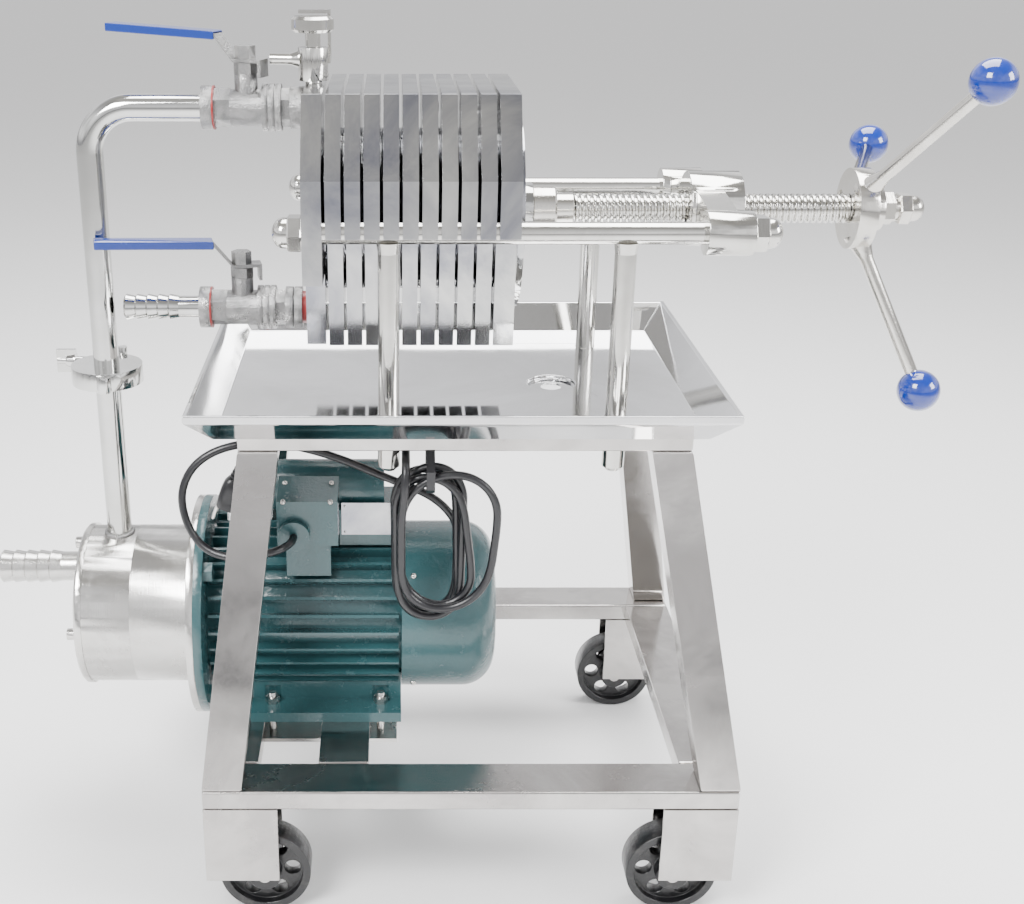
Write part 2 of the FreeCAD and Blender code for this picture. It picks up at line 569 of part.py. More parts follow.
def make_filter_plate(index):
    label = f"filter_plate_{index}"
    target = body(f"FilterPlate{index}")
    pad(target, plate_profile(target), "plateThickness")
    raised = "(plateGap - plateClearance) / 2"
    for offset, reverse in (("0", True), ("plateThickness", False)):
        seal = sketch(target, "YZ_Plane", offset)
        circle(seal, 0, 0, "2 * sealRadius")
        pad(target, seal, raised, reverse)
    ports = sketch(target, "YZ_Plane")
    for z in ("portHeight", "-outletDrop"):
        circle(ports, 0, z, "2 * portRadius")
    pocket(target, ports, "plateThickness", True)
    x = f"packLeftX + headThickness + {index} * plateGap + {index - 1} * plateThickness"
    place(target, x, 0, "axisHeight")
    keep(label, target)


def make_head_plate():
    target = body("HeadPlate")
    right = [("plateTopHalfWidth", "plateTopHeight"), ("earHalfWidth", "shoulderHeight"),
             ("earHalfWidth", "-headEarBottom"), ("bodyHalfWidth - headBodyWidthLoss", "-headEarBottom"),
             ("bodyBottomHalfWidth - headBodyWidthLoss", "-bodyBottom")]
    left = [(f"-({y})", z) for y, z in reversed(right)]
    pad(target, outline(sketch(target, "YZ_Plane"), right + left), "headThickness")
    seal = circle(sketch(target, "YZ_Plane", "headThickness"), 0, 0, "2 * sealRadius")
    pad(target, seal, "(plateGap - plateClearance) / 2")
    holes = sketch(target, "YZ_Plane")
    for side in (-1, 1):
        circle(holes, f"{side} * rodSpacing / 2", 0, "rodEndDiameter")
    for z in ("portHeight", "-outletDrop"):
        circle(holes, 0, z, "2 * portRadius")
    pocket(target, holes, "headThickness", True)
    place(target, "packLeftX", 0, "axisHeight")
    keep("head_plate", target)


def make_follower():
    target = body("Follower")
    pad(target, plate_profile(target), "followerThickness")
    seal = circle(sketch(target, "YZ_Plane"), 0, 0, "2 * sealRadius")
    pad(target, seal, "(plateGap - plateClearance) / 2", True)
    disc = circle(sketch(target, "YZ_Plane", "followerThickness"), 0, 0, "2 * followerDiscRadius")
    pad(target, disc, "followerDiscThickness")
    boss = circle(sketch(target, "YZ_Plane", "followerThickness + followerDiscThickness"), 0, 0,
                  "thrustBossDiameter")
    pad(target, boss, "thrustBossLength")
    seat = "followerThickness + followerDiscThickness + thrustBossLength"
    bore = circle(sketch(target, "YZ_Plane", seat), 0, 0, "noseDiameter + 2 * noseClearance")
    pocket(target, bore, "noseLength + noseClearance")
    place(target, "followerX", 0, "axisHeight")
    keep("follower_plate", target)


def make_screw():
    steps = [("-noseLength", 0), ("-noseLength", "noseDiameter"), (0, "noseDiameter"), (0, "collarDiameter"),
             ("collarLength", "collarDiameter"), ("collarLength", "neckDiameter"),
             ("collarLength + neckLength", "neckDiameter"), ("collarLength + neckLength", "screwDiameter"),
             ("screwLength", "screwDiameter"), ("screwLength", 0)]
    keep("press_screw", turned("PressScrew", steps, "screwX", 0, "axisHeight"))


def arm_direction(index):
    angle = math.radians(number("armPhase") + 120 * index)
    return Vector(0, math.cos(angle), math.sin(angle))


def make_handwheel():
    disc = rod("HubPlate", "hubPlateDiameter", "hubPlateThickness", "hubPlateX", 0, "axisHeight", (0, 1, 0, 90))
    boss = rod("HubBoss", "hubBossDiameter", "hubBossLength", "hubPlateX + hubPlateThickness", 0, "axisHeight",
               (0, 1, 0, 90))
    nut = cap_nut("HubNut", "hubPlateX + hubPlateThickness + hubBossLength", 0, "axisHeight", "capNutAcross",
                  "capNutHexLength", "capNutDomeLength", None)
    arms, knobs = [], []
    start_x = number("hubPlateX + hubPlateThickness / 2")
    root, spread, rake = number("armRootRadius"), number("armSpread"), number("armRake")
    knob_radius = number("knobDiameter") / 2
    for index in range(3):
        out = arm_direction(index)
        start = Vector(start_x, 0, number("axisHeight")) + out * root
        centre = Vector(start_x + rake, 0, number("axisHeight")) + out * spread
        along = (centre - start).normalize()
        arm = doc.addObject("Part::Cylinder", "Arm")
        bind(arm, Radius="armDiameter / 2")
        arm.Height = (centre - start).Length - knob_radius * 0.6
        arm.Placement = Placement(start, Rotation(Vector(0, 0, 1), along))
        root_cone = doc.addObject("Part::Cone", "ArmRoot")
        bind(root_cone, Radius1="armRootDiameter / 2", Radius2="armDiameter / 2", Height="armRootLength")
        root_cone.Placement = arm.Placement
        arms += [arm, root_cone]
        knob = doc.addObject("Part::Sphere", "Knob")
        bind(knob, Radius="knobDiameter / 2")
        knob.Placement = Placement(centre, Rotation())
        knobs.append(cut("DrilledKnob", knob, arm))
    keep("handwheel", fused("Handwheel", disc, boss, nut, *arms))
    keep("handwheel_knobs", grouped("HandwheelKnobs", *knobs))


# --- pump and motor ----------------------------------------------------------------------------

def make_pump():
    rim = "coverRimThickness"
    cover = turned("PumpCover", [(0, 0), (0, "coverRimDiameter - 5"), ("2.5", "coverRimDiameter"),
                                 (rim, "coverRimDiameter"), (rim, "pumpDiameter"), ("coverLength", "pumpDiameter"),
                                 ("coverLength", 0)], "pumpLeftX", 0, "pumpAxisHeight")
    studs = [rod("CoverStud", "coverStudDiameter", "coverStudLength + 1", "pumpLeftX + 1",
                 f"{across} * coverStudRadius", f"pumpAxisHeight + {up} * coverStudRadius", (0, 1, 0, -90))
             for across, up in ((0, 1), (0, -1), (1, 0), (-1, 0))]
    barb = turned("InletBarb", barb_steps("inletLength", "barbDiameter", "inletBore", "inletBoreDepth", 5),
                  "pumpLeftX - inletLength", 0, "pumpAxisHeight + inletOffset")
    keep("pump_cover", cut("PumpCoverClear", fused("PumpCoverBlank", cover, *studs),
                           rod("BarbRoot", "barbDiameter", "inletLength", "pumpLeftX - inletLength", 0,
                               "pumpAxisHeight + inletOffset", (0, 1, 0, 90))))
    keep("inlet_barb", barb)
    casing = turned("PumpCasing", [(0, 0), (0, "pumpDiameter"), ("casingLength", "pumpDiameter"),
                                   ("casingLength", "flangeDiameter"),
                                   ("casingLength + pumpFlangeThickness", "flangeDiameter"),
                                   ("casingLength + pumpFlangeThickness", 0)],
                    "pumpLeftX + coverLength", 0, "pumpAxisHeight")
    keep("pump_casing", casing)


def barb_steps(length, diameter, bore, depth, ribs):
    """A bored hose tail: saw-tooth ribs over the free half, then a plain shank."""
    steps = [(depth, 0), (depth, bore), (0, bore), (0, f"({diameter}) - 4")]
    for index in range(ribs):
        start = f"({length}) * 0.72 * {index} / {ribs}"
        end = f"({length}) * 0.72 * {index + 1} / {ribs}"
        steps += [(f"{start} + 2", diameter)]
        steps += [(end, f"({diameter}) - 4")]
    steps += [(f"({length})", f"({diameter}) - 4"), (f"({length})", 0)]
    return steps


def make_motor():
    flange = rod("MotorFlangeDisc", "flangeDiameter", "motorFlangeThickness", "flangeX", 0, "pumpAxisHeight",
                 (0, 1, 0, 90))
    reach = "flangeBoltRadius / sqrt(2)"
    bolts = [hexagon("FlangeBolt", "flangeBoltAcross", "flangeBoltLength + 1", "motorX - 1", f"{across} * {reach}",
                     f"pumpAxisHeight + {up} * {reach}", (0, 1, 0, 90)) for across in (-1, 1) for up in (-1, 1)]
    keep("motor_flange", fused("MotorFlange", flange, *bolts))
    core = rod("MotorCore", "motorCoreDiameter", "motorLength", "motorX", 0, "pumpAxisHeight", (0, 1, 0, 90))
    fins = []
    for index in range(int(sizes["finCount"])):
        angle = 360 / sizes["finCount"] * index
        fin = box("Fin", "motorLength - 6", "finThickness", "finDiameter / 2", "motorX + 3", 0, 0)
        fin.Placement = Placement(Vector(), Rotation(Vector(1, 0, 0), angle))
        bind(fin, **{"Placement.Base.x": "motorX + 3",
                     "Placement.Base.y": f"finThickness / 2 * -cos({angle})",
                     "Placement.Base.z": f"pumpAxisHeight - finThickness / 2 * sin({angle})"})
        fins.append(fin)
    foot = box("MotorFoot", "footLength", "footWidth", "footThickness", "motorX + footShift", "-footWidth / 2",
               "baseTop")
    block = box("FootBlock", "footLength", "pedestalWidth", "shaftHeight - motorCoreDiameter / 3",
                "motorX + footShift", "-pedestalWidth / 2", "baseTop")
    blank = fused("MotorBlank", core, foot, block, *fins)
    holes = [rod("FootHole", "footBoltDiameter", "footThickness + 2", x, f"{side} * footBoltY / 2", "baseTop - 1")
             for x in ("motorX + boltShiftNear", "motorX + boltShiftFar") for side in (-1, 1)]
    nut_room = [rod("NutRoom", "footNutAcross + 10", "footNutHeight + 8", x, f"{side} * footBoltY / 2",
                    "baseTop + footThickness") for x in ("motorX + boltShiftNear", "motorX + boltShiftFar")
                for side in (-1, 1)]
    keep("motor_frame", cut("MotorFrame", blank, fused("FootHoles", *holes, *nut_room)))
    keep("fan_cover", turned("FanCover", [(0, 0), (0, "finDiameter"), ("fanCoverLength - fanCoverRound", "finDiameter"),
                                          ("fanCoverLength", "finDiameter - 2 * fanCoverRound"),
                                          ("fanCoverLength", 0)], "motorX + motorLength", 0, "pumpAxisHeight",
                             arcs={2: ("fanCoverRound", -1)}))


def make_boxes():
    """Terminal box with a sloping lid and a gland, and the capacitor lying in a boxed cradle behind it."""
    around = rod("BoxBed", "finDiameter", "2 * motorLength", "motorX - motorLength / 2", 0, "pumpAxisHeight",
                 (0, 1, 0, 90))
    housing = body("TerminalHousing")
    side = [("terminalFrontY", 0), ("terminalRearY", 0), ("terminalRearY", "terminalHeight + terminalLidRise"),
            ("terminalFrontY", "terminalHeight")]
    pad(housing, outline(sketch(housing, "YZ_Plane"), side), "terminalWidth")
    place(housing, "motorX + terminalShift", 0, "pumpAxisHeight + terminalRise")
    inset = "terminalNeckInset"
    neck = box("TerminalNeck", f"terminalWidth - 2 * {inset}", f"terminalRearY - terminalFrontY - {inset}",
               "terminalRise + 1", f"motorX + terminalShift + {inset}", f"terminalFrontY + {inset}", "pumpAxisHeight")
    gland = rod("Gland", "glandDiameter", "glandLength + 5", "motorX + glandShift", "terminalFrontY + 5",
                "pumpAxisHeight + glandRise", (1, 0, 0, 90))
    keep("terminal_box", cut("TerminalBox", fused("TerminalBlank", housing, neck, gland), around))
    cradle = box("Cradle", "cradleLength", "cradleWidth", "cradleTopRise", "motorX + cradleShift",
                 "-cradleWidth / 2", "pumpAxisHeight")
    capacitor = rod("Capacitor", "capacitorDiameter", "capacitorLength", "motorX + capacitorShift", 0,
                    "pumpAxisHeight + capacitorRise", (0, 1, 0, 90))
    keep("capacitor_box", cut("CapacitorBox", fused("CapacitorBlank", cradle, capacitor), around))


def make_foot_clamps():
    """Two strips under the cross bar, each pulled up to the motor feet by a pair of bolts."""
    under = "baseTop - baseBarHeight - stripThickness"
    solids = []
    for side in (-1, 1):
        y = f"{side} * footBoltY / 2"
        pieces = [box("ClampStrip", "stripLength", "stripWidth", "stripThickness", "motorX + stripShift",
                      f"{y} - stripWidth / 2", under)]
        for x in ("motorX + boltShiftNear", "motorX + boltShiftFar"):
            pieces.append(rod("FootBolt", "footBoltDiameter",
                              "baseBarHeight + stripThickness + footThickness + footNutHeight + 5", x, y, under))
            for z in ("baseTop + footThickness", f"{under} - footNutHeight"):
                pieces.append(hexagon("FootNut", "footNutAcross", "footNutHeight", x, y, z))
        solids.append(fused("FootClamp", *pieces))
    keep("foot_clamps", grouped("FootClamps", *solids))


# --- piping ------------------------------------------------------------------------------------

def swept_pipe(points, radii, diameter):
    """A round bar along straight runs joined by tangent arcs."""
    wire = Part.Wire(route_edges(points, radii))
    section = Part.Wire(Part.Circle(points[0], points[1] - points[0], diameter / 2).toShape())
    return wire.makePipeShell([section], True, True)


def route_edges(points, radii):
    edges, start = [], points[0]
    for index in range(1, len(points) - 1):
        corner = points[index]
        before = (points[index - 1] - corner).normalize()
        after = (points[index + 1] - corner).normalize()
        half = before.getAngle(after) / 2
        trim = radii[index - 1] / math.tan(half)
        first, last = corner + before * trim, corner + after * trim
        inward = (before + after).normalize()
        crown = corner + inward * (radii[index - 1] / math.sin(half) - radii[index - 1])
        if (first - start).Length > 1e-6:
            edges.append(Part.LineSegment(start, first).toShape())
        edges.append(Part.Arc(first, crown, last).toShape())
        start = last
    edges.append(Part.LineSegment(start, points[-1]).toShape())
    return edges


def make_pipes():
    top = "ferruleHeight - gasketThickness / 2"
    lower = rod("LowerTube", "pipeDiameter", f"{top} - pumpAxisHeight - pumpDiameter / 4", "pipeX", 0,
                "pumpAxisHeight + pumpDiameter / 4")
    ferrule = rod("LowerFerrule", "ferruleDiameter", "ferruleThickness", "pipeX", 0, f"{top} - ferruleThickness")
    pump_bed = rod("PipeBed", "coverRimDiameter", "2 * coverLength", "pumpLeftX - coverLength / 2", 0,
                   "pumpAxisHeight", (0, 1, 0, 90))
    keep("lower_pipe", cut("LowerPipe", fused("LowerBlank", lower, ferrule), pump_bed))

    start = Vector(number("pipeX"), 0, number("ferruleHeight + gasketThickness / 2"))
    corner = Vector(start.x, 0, number("feedHeight"))
    end = Vector(number("feedValveX - valveLeftReach"), 0, corner.z)
    bend = doc.addObject("Part::Feature", "BentTube")
    bend.Shape = swept_pipe([start, corner, end], [number("pipeBendRadius")], number("pipeDiameter"))
    upper_ferrule = rod("UpperFerrule", "ferruleDiameter", "ferruleThickness", "pipeX", 0,
                        "ferruleHeight + gasketThickness / 2")
    keep("upper_pipe", fused("UpperPipe", bend, upper_ferrule))
    gasket = rod("Gasket", "ferruleDiameter", "gasketThickness", "pipeX", 0, "ferruleHeight - gasketThickness / 2")
    ring = rod("ClampRing", "clampDiameter", "clampHeight", "pipeX", 0, "ferruleHeight - clampHeight / 2")
    hollow = fused("ClampHollow",
                   rod("ClampPocket", "ferruleDiameter", "2 * ferruleThickness + gasketThickness", "pipeX", 0,
                       "ferruleHeight - ferruleThickness - gasketThickness / 2"),
                   rod("ClampEye", "pipeDiameter", "2 * clampHeight", "pipeX", 0, "ferruleHeight - clampHeight"))
    knuckle = rod("ClampKnuckle", "14", "clampHeight - 2", "pipeX + 4", "2 - clampBoltY",
                  "ferruleHeight - clampHeight / 2 + 1")
    lugs = [box("ClampLug", "clampLugThickness", "18", "clampHeight - 2", x, "clampBoltY - 10",
                "ferruleHeight - clampHeight / 2 + 1")
            for x in ("pipeX - 1.5 * clampLugThickness", "pipeX - clampLugThickness / 2 + clampLugGap")]
    bolt = rod("ClampBolt", "clampBoltDiameter", "71", "pipeX - 59", "clampBoltY", "ferruleHeight", (0, 1, 0, 90))
    hub = cone("WingHub", "12", "16", "wingNutLength / 2", "pipeX - 49.6", "clampBoltY", "ferruleHeight",
               (0, 1, 0, 90))
    wings = box("WingNut", "wingNutLength", "5", "wingNutHeight", "pipeX - 49.6 - wingNutLength / 2",
                "clampBoltY - 2.5", "ferruleHeight - wingNutHeight / 2")
    nub = rod("ClampNub", "9", "10", "pipeX + 9", "clampBoltY", "ferruleHeight + 5")
    keep("pipe_clamp", cut("PipeClamp", fused("ClampBlank", ring, knuckle, bolt, hub, wings, nub, *lugs), hollow))
    keep("clamp_gasket", gasket)


def make_valve(label, x, z, right_rings):
    """Two-piece ball valve: hexagon ends, round ball housing, grooved collar, and a stem bonnet on top."""
    name = label.title().replace("_", "")
    half = "valveBodyLength / 2"
    along = (0, 1, 0, 90)
    left = f"{x} - valveLeftReach"
    collar = f"{x} + {half}"
    ring_start = f"packLeftX - ({sum_of(right_rings)})"
    pieces = [
        rod(name + "Union", "unionDiameter", "unionLength - unionGasketThickness", left, 0, z, along),
        rod(name + "Core", "valveCoreDiameter", f"packLeftX - ({left})", left, 0, z, along),
        hexagon(name + "HexLeft", "valveHexAcross", "valveHexLength", f"{x} - {half} - valveHexLength", 0, z, along),
        rod(name + "Body", "valveBodyDiameter", "valveBodyLength", f"{x} - {half}", 0, z, along),
        hexagon(name + "HexRight", "valveHexAcross", f"{ring_start} - ({collar} + valveCollarLength)",
                f"{collar} + valveCollarLength", 0, z, along),
        rod(name + "Bonnet", "bonnetDiameter", "bonnetHeight", x, 0, z),
        hexagon(name + "PackNut", "packNutAcross", "packNutHeight", x, 0, f"{z} + bonnetHeight"),
        rod(name + "Stem", "stemDiameter", "stemHeight", x, 0, z),
    ]
    land = "(valveCollarLength - 2 * collarGrooveWidth) / 3"
    for index in range(3):
        pieces.append(rod(name + "Collar", "valveCollarDiameter", land,
                          f"{collar} + {index} * ({land} + collarGrooveWidth)", 0, z, along))
    pieces.append(rod(name + "CollarFloor", "valveCollarDiameter - 2 * collarGrooveDepth", "valveCollarLength",
                      collar, 0, z, along))
    start = ring_start
    for length, diameter in right_rings:
        if diameter:
            pieces.append(rod(name + "Ring", diameter, length, start, 0, z, along))
        start = f"{start} + {length}"
    keep(label, fused(name, *pieces))


def sum_of(rings):
    return " + ".join(length for length, _ in rings)


def make_valve_gaskets():
    """Seal rings around the valve cores: behind each ring nut and between the lower valve and the head."""
    along = (0, 1, 0, 90)
    rings = []
    for x, z in (("feedValveX", "feedHeight"), ("outletValveX", "outletHeight")):
        rings.append((f"{x} - valveLeftReach + unionLength - unionGasketThickness", z, "unionDiameter",
                      "unionGasketThickness"))
    rings.append(("packLeftX - outletGasketLength", "outletHeight", "outletGasketDiameter", "outletGasketLength"))
    seals = [cut("SealRing", rod("SealBlank", diameter, length, x, 0, z, along),
                 rod("SealEye", "valveCoreDiameter", length, x, 0, z, along)) for x, z, diameter, length in rings]
    keep("valve_gaskets", grouped("ValveGaskets", *seals))


def make_lever(label, grip_label, x, height, angle):
    """A flat bar on the stem under a nut, with a stop tab, cranked up once and dipped beyond the crank."""
    name = label.title().replace("_", "")
    base = f"{height} + bonnetHeight + packNutHeight + leverGap"
    turn = (0, 0, 1, number(angle))
    bar = body(name + "Bar")
    end_low = "leverRise + leverClimb"
    side = [("leverTail", "-leverTabDrop"), ("leverTail", "leverThickness"), ("-leverWidth / 2", "leverThickness"),
            ("-leverCrank", "leverRise + leverThickness"), ("-leverReach", f"{end_low} + leverThickness"),
            ("-leverReach", end_low), ("-leverCrank", "leverRise"), ("-leverWidth / 2", 0),
            ("leverTail - leverThickness", 0), ("leverTail - leverThickness", "-leverTabDrop")]
    pad(bar, outline(sketch(bar, "XZ_Plane", "-leverWidth / 2"), side), "leverWidth")
    place(bar, x, 0, base, turn)
    nut = hexagon(name + "Nut", "topNutAcross", "topNutHeight", x, 0, f"{base} + leverThickness")
    eye = rod(name + "Eye", "stemDiameter + 2 * stemPlay", "topNutDepth + leverThickness", x, 0, base)
    keep(label, cut(name, fused(name + "Blank", bar, nut), eye))
    grip = body(name + "Grip")
    low, high = "(leverThickness - gripThickness) / 2", "(leverThickness + gripThickness) / 2"
    dip = [("-leverCrank", f"leverRise + {low}"), ("-leverCrank", f"leverRise + {high}"),
           ("-leverReach - 2", f"{end_low} + {high}"), ("-leverReach - 2", f"{end_low} + {low}")]
    pad(grip, outline(sketch(grip, "XZ_Plane", "-gripWidth / 2"), dip), "gripWidth")
    slot = [("-leverCrank", "leverRise"), ("-leverCrank", "leverRise + leverThickness"),
            ("-leverReach", f"{end_low} + leverThickness"), ("-leverReach", end_low)]
    pocket(grip, outline(sketch(grip, "XZ_Plane", "-leverWidth / 2"), slot), "leverWidth", True)
    place(grip, x, 0, base, turn)
    keep(grip_label, grip)


def make_outlet_barb():
    keep("outlet_barb", turned("OutletBarb", barb_steps("outletBarbLength", "outletBarbDiameter", "outletBore",
                                                      "outletBoreDepth", 5),
                               "outletValveX - valveLeftReach - outletBarbLength", 0, "outletHeight"))


def make_vent():
    """Vent cock on the head plate: a spouted body, a knob above it and a keeper strap behind the knob."""
    foot = "axisHeight + plateTopHeight"
    top = f"{foot} + ventBodyHeight + ventNeckHeight"
    neck = rod("VentNeck", "ventNeckDiameter", "ventNeckHeight + 1", "ventX", 0, foot)
    main = rod("VentBody", "ventBodyDiameter", "ventBodyHeight", "ventX", 0, f"{foot} + ventNeckHeight")
    left = (0, 1, 0, -90)
    spout = rod("VentSpout", "spoutDiameter", "spoutLength + ventBodyDiameter / 2", "ventX", 0,
                f"{foot} + spoutHeight", left)
    flare = cone("SpoutFlare", "spoutFlare", "spoutDiameter", "spoutFlareLength + 2", "ventX - ventBodyDiameter / 2 + 2",
                 0, f"{foot} + spoutHeight", left)
    knob_bottom = f"{top} + ventStemHeight"
    strap_top = f"{knob_bottom} + ventKnobHeight + strapGap + strapThickness"
    leg_bottom = f"{foot} + spoutHeight - 4"
    lug = box("StrapLug", "strapX", "strapY + strapWidth", "6", "ventX", 0, leg_bottom)
    leg = box("StrapLeg", "strapThickness", "strapWidth", f"{strap_top} - ({leg_bottom})",
              "ventX + strapX - strapThickness", "strapY", leg_bottom)
    strap = box("StrapTop", "strapLength", "strapWidth", "strapThickness", "ventX + strapX - strapLength", "strapY",
                f"{strap_top} - strapThickness")
    keep("vent_cock", fused("VentCock", neck, main, spout, flare, lug, leg, strap))
    stem = rod("VentStem", "ventStemDiameter", "ventStemHeight - ventStemGap + 1", "ventX", 0, f"{top} + ventStemGap")
    bevel, width = "ventKnobBevel", "ventKnobDiameter"
    disc = turned("VentKnobDisc", [(0, 0), (0, f"{width} - 2 * {bevel}"), (bevel, width),
                                   (f"ventKnobHeight - {bevel}", width),
                                   ("ventKnobHeight", f"{width} - 2 * {bevel}"), ("ventKnobHeight", 0)],
                  "ventX", 0, knob_bottom, (0, 1, 0, -90))
    keep("vent_knob", fused("VentKnob", stem, disc))


# --- motor lead --------------------------------------------------------------------------------

def lead_tube(name, points):
    """A flexible lead along its route, every bend as wide as its shorter run lets it be."""
    radii = []
    for before, corner, after in zip(points, points[1:], points[2:]):
        half = (before - corner).getAngle(after - corner) / 2
        shorter = min((before - corner).Length, (after - corner).Length)
        radii.append(0.45 * shorter * math.tan(half))
    tube = doc.addObject("Part::Feature", name)
    tube.Shape = swept_pipe(points, radii, number("leadDiameter"))
    print(name, "bend radii", [round(radius) for radius in radii])
    return tube


def make_lead():
    """The lead leaves the gland, loops up to a hank under the front table rail and ends in a plug."""
    hank = body("Hank")
    shape = [(-44, 0), (-50, -30), (-55, -64), (-57, -100), (-54, -132), (-46, -158), (-30, -178), (-8, -190),
             (8, -174), (22, -147), (42, -144), (56, -134), (50, -108), (36, -74), (20, -42), (4, -6), (-6, 0)]
    edge = [(x, f"railBottom - {-z}") for x, z in shape]
    pad(hank, outline(sketch(hank, "XZ_Plane", "-(hankFrontY + hankThickness)"), edge), "hankThickness")
    keep("lead_hank", hank)
    mouth = Vector(number("motorX + glandShift"), number("terminalFrontY - glandLength"),
                   number("pumpAxisHeight + glandRise"))
    loop = [(0, 0, 0), (0, -23, 0), (-16.5, -38.5, -1), (-46, -37.5, -7), (-73, -30, -7), (-94, -20, 5),
            (-106, -13, 27), (-108, -9, 52), (-98, -6, 76), (-78, -3, 92), (-50, 0, 100), (-15, 2, 101),
            (21, -1, 94), (53, -6, 85), (82, -13, 71), (112, -21, 53)]
    supply = lead_tube("SupplyTube", [mouth + Vector(*step) for step in loop])
    keep("motor_lead", cut("SupplyLead", supply, hank))
    rail = Vector(0, 0, number("railBottom"))
    tail = [(-36, -100, -24), (-60, -84, -12), (-92, -79, -6), (-124, -76, -5), (-154, -63, -7), (-179, -56, -13),
            (-199, -53, -24), (-206.6, -53, -44.6)]
    route = [rail + Vector(*step) for step in tail]
    keep("plug_lead", cut("PlugLead", lead_tube("TailTube", route), hank))
    along = (route[-1] - route[-2]).normalize()
    relief = cone("PlugRelief", "plugReliefDiameter", "plugNeckDiameter", "plugReliefLength", 0, 0, 0)
    block = box("PlugBlock", "plugWidth", "plugThickness", "plugLength", "-plugWidth / 2", "-plugThickness / 2",
                "plugReliefLength")
    plug = fused("Plug", relief, block)
    plug.Placement = Placement(route[-1], Rotation(Vector(0, 0, 1), along))
    keep("lead_plug", plug)


make_base()
make_brackets()
for corner_name, (_, wheel_x, side) in corners.items():
    make_wheel(f"wheel_{corner_name}", wheel_x, side)
make_legs()
make_table()
make_tray()
make_rods()
make_posts()
make_rod_nuts()
make_crosshead()
make_head_plate()
for index in range(1, int(sizes["plateCount"]) + 1):
    make_filter_plate(index)
make_follower()
make_screw()
make_handwheel()
make_pump()
make_motor()
make_boxes()
make_foot_clamps()
make_pipes()
make_valve("feed_valve", "feedValveX", "feedHeight", [("feedRingLength", "feedRingDiameter")])
make_valve("outlet_valve", "outletValveX", "outletHeight",
           [("outletRingLength", "unionDiameter"), ("outletRingGap", None), ("outletRingLength", "unionDiameter"),
            ("outletGasketLength", None)])
make_valve_gaskets()
make_lever("feed_lever", "feed_grip", "feedValveX", "feedHeight", "feedLeverAngle")
make_lever("outlet_lever", "outlet_grip", "outletValveX", "outletHeight", "outletLeverAngle")
make_outlet_barb()
make_vent()
make_lead()

doc.recompute()
failed = [target.Label for target in doc.Objects if {"Invalid", "Error"} & set(target.State)]
assert not failed, f"objects that failed to recompute: {failed}"
for label, target in nodes.items():
    assert not target.Shape.isNull() and target.Shape.isValid(), f"{label} has no valid shape"
for label, target in nodes.items():
    target.Shape.exportStep(f"parts/{label}.step")
print(len(nodes), "sub-parts written")
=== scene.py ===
import math

import bmesh
import bpy
from mathutils import Matrix, Vector


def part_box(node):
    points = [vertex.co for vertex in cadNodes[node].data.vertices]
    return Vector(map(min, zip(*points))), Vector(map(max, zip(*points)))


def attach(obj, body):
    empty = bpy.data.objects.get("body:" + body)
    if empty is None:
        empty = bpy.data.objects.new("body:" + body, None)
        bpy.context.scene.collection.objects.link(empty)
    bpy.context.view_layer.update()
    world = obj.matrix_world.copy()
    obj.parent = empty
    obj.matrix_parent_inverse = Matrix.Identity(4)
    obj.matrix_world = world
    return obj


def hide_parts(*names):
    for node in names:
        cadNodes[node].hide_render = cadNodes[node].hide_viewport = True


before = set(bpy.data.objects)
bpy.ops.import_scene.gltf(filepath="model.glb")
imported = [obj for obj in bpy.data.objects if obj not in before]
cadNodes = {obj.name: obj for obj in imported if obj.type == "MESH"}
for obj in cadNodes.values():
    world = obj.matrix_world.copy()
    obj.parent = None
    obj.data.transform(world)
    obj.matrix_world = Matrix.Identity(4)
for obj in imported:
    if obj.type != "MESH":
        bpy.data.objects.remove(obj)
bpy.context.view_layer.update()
print("frame loaded,", len(cadNodes), "CAD nodes")


# Camera

cameraSetup = {"place": (-0.058, -1.3054, 0.9271), "pitchDown": 21.51, "lens": 47.81, "shiftAcross": 0.1172}


def addCamera(setup):
    data = bpy.data.cameras.new("camera")
    data.lens = setup["lens"]
    data.sensor_width = 36
    data.shift_x = setup["shiftAcross"]
    data.clip_start, data.clip_end = 0.05, 200
    camera = bpy.data.objects.new("camera", data)
    camera.location = setup["place"]
    camera.rotation_euler = (math.radians(90 - setup["pitchDown"]), 0, 0)
    bpy.context.scene.collection.objects.link(camera)
    bpy.context.scene.camera = camera


addCamera(cameraSetup)


# Small helpers for meshes and nodes

def addNode(tree, kind, inputs=None, **settings):
    node = tree.nodes.new(kind)
    for name, value in settings.items():
        setattr(node, name, value)
    for name, value in (inputs or {}).items():
        if isinstance(value, bpy.types.NodeSocket):
            tree.links.new(value, node.inputs[name])
        else:
            node.inputs[name].default_value = value
    return node


def newTree(name, kind, inputs, outputs):
    tree = bpy.data.node_groups.new(name, kind)
    for socketName, socketType, value in inputs:
        socket = tree.interface.new_socket(socketName, in_out="INPUT", socket_type="NodeSocket" + socketType)
        if value is not None:
            socket.default_value = value
    for socketName, socketType in outputs:
        tree.interface.new_socket(socketName, in_out="OUTPUT", socket_type="NodeSocket" + socketType)
    return tree, tree.nodes.new("NodeGroupInput").outputs, tree.nodes.new("NodeGroupOutput").inputs


def addObject(name, mesh, body, material=None, stands=()):
    piece = bpy.data.objects.new(name, mesh)
    bpy.context.scene.collection.objects.link(piece)
    if material:
        mesh.materials.append(material)
    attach(piece, body)
    if stands:
        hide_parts(*stands)
    return piece


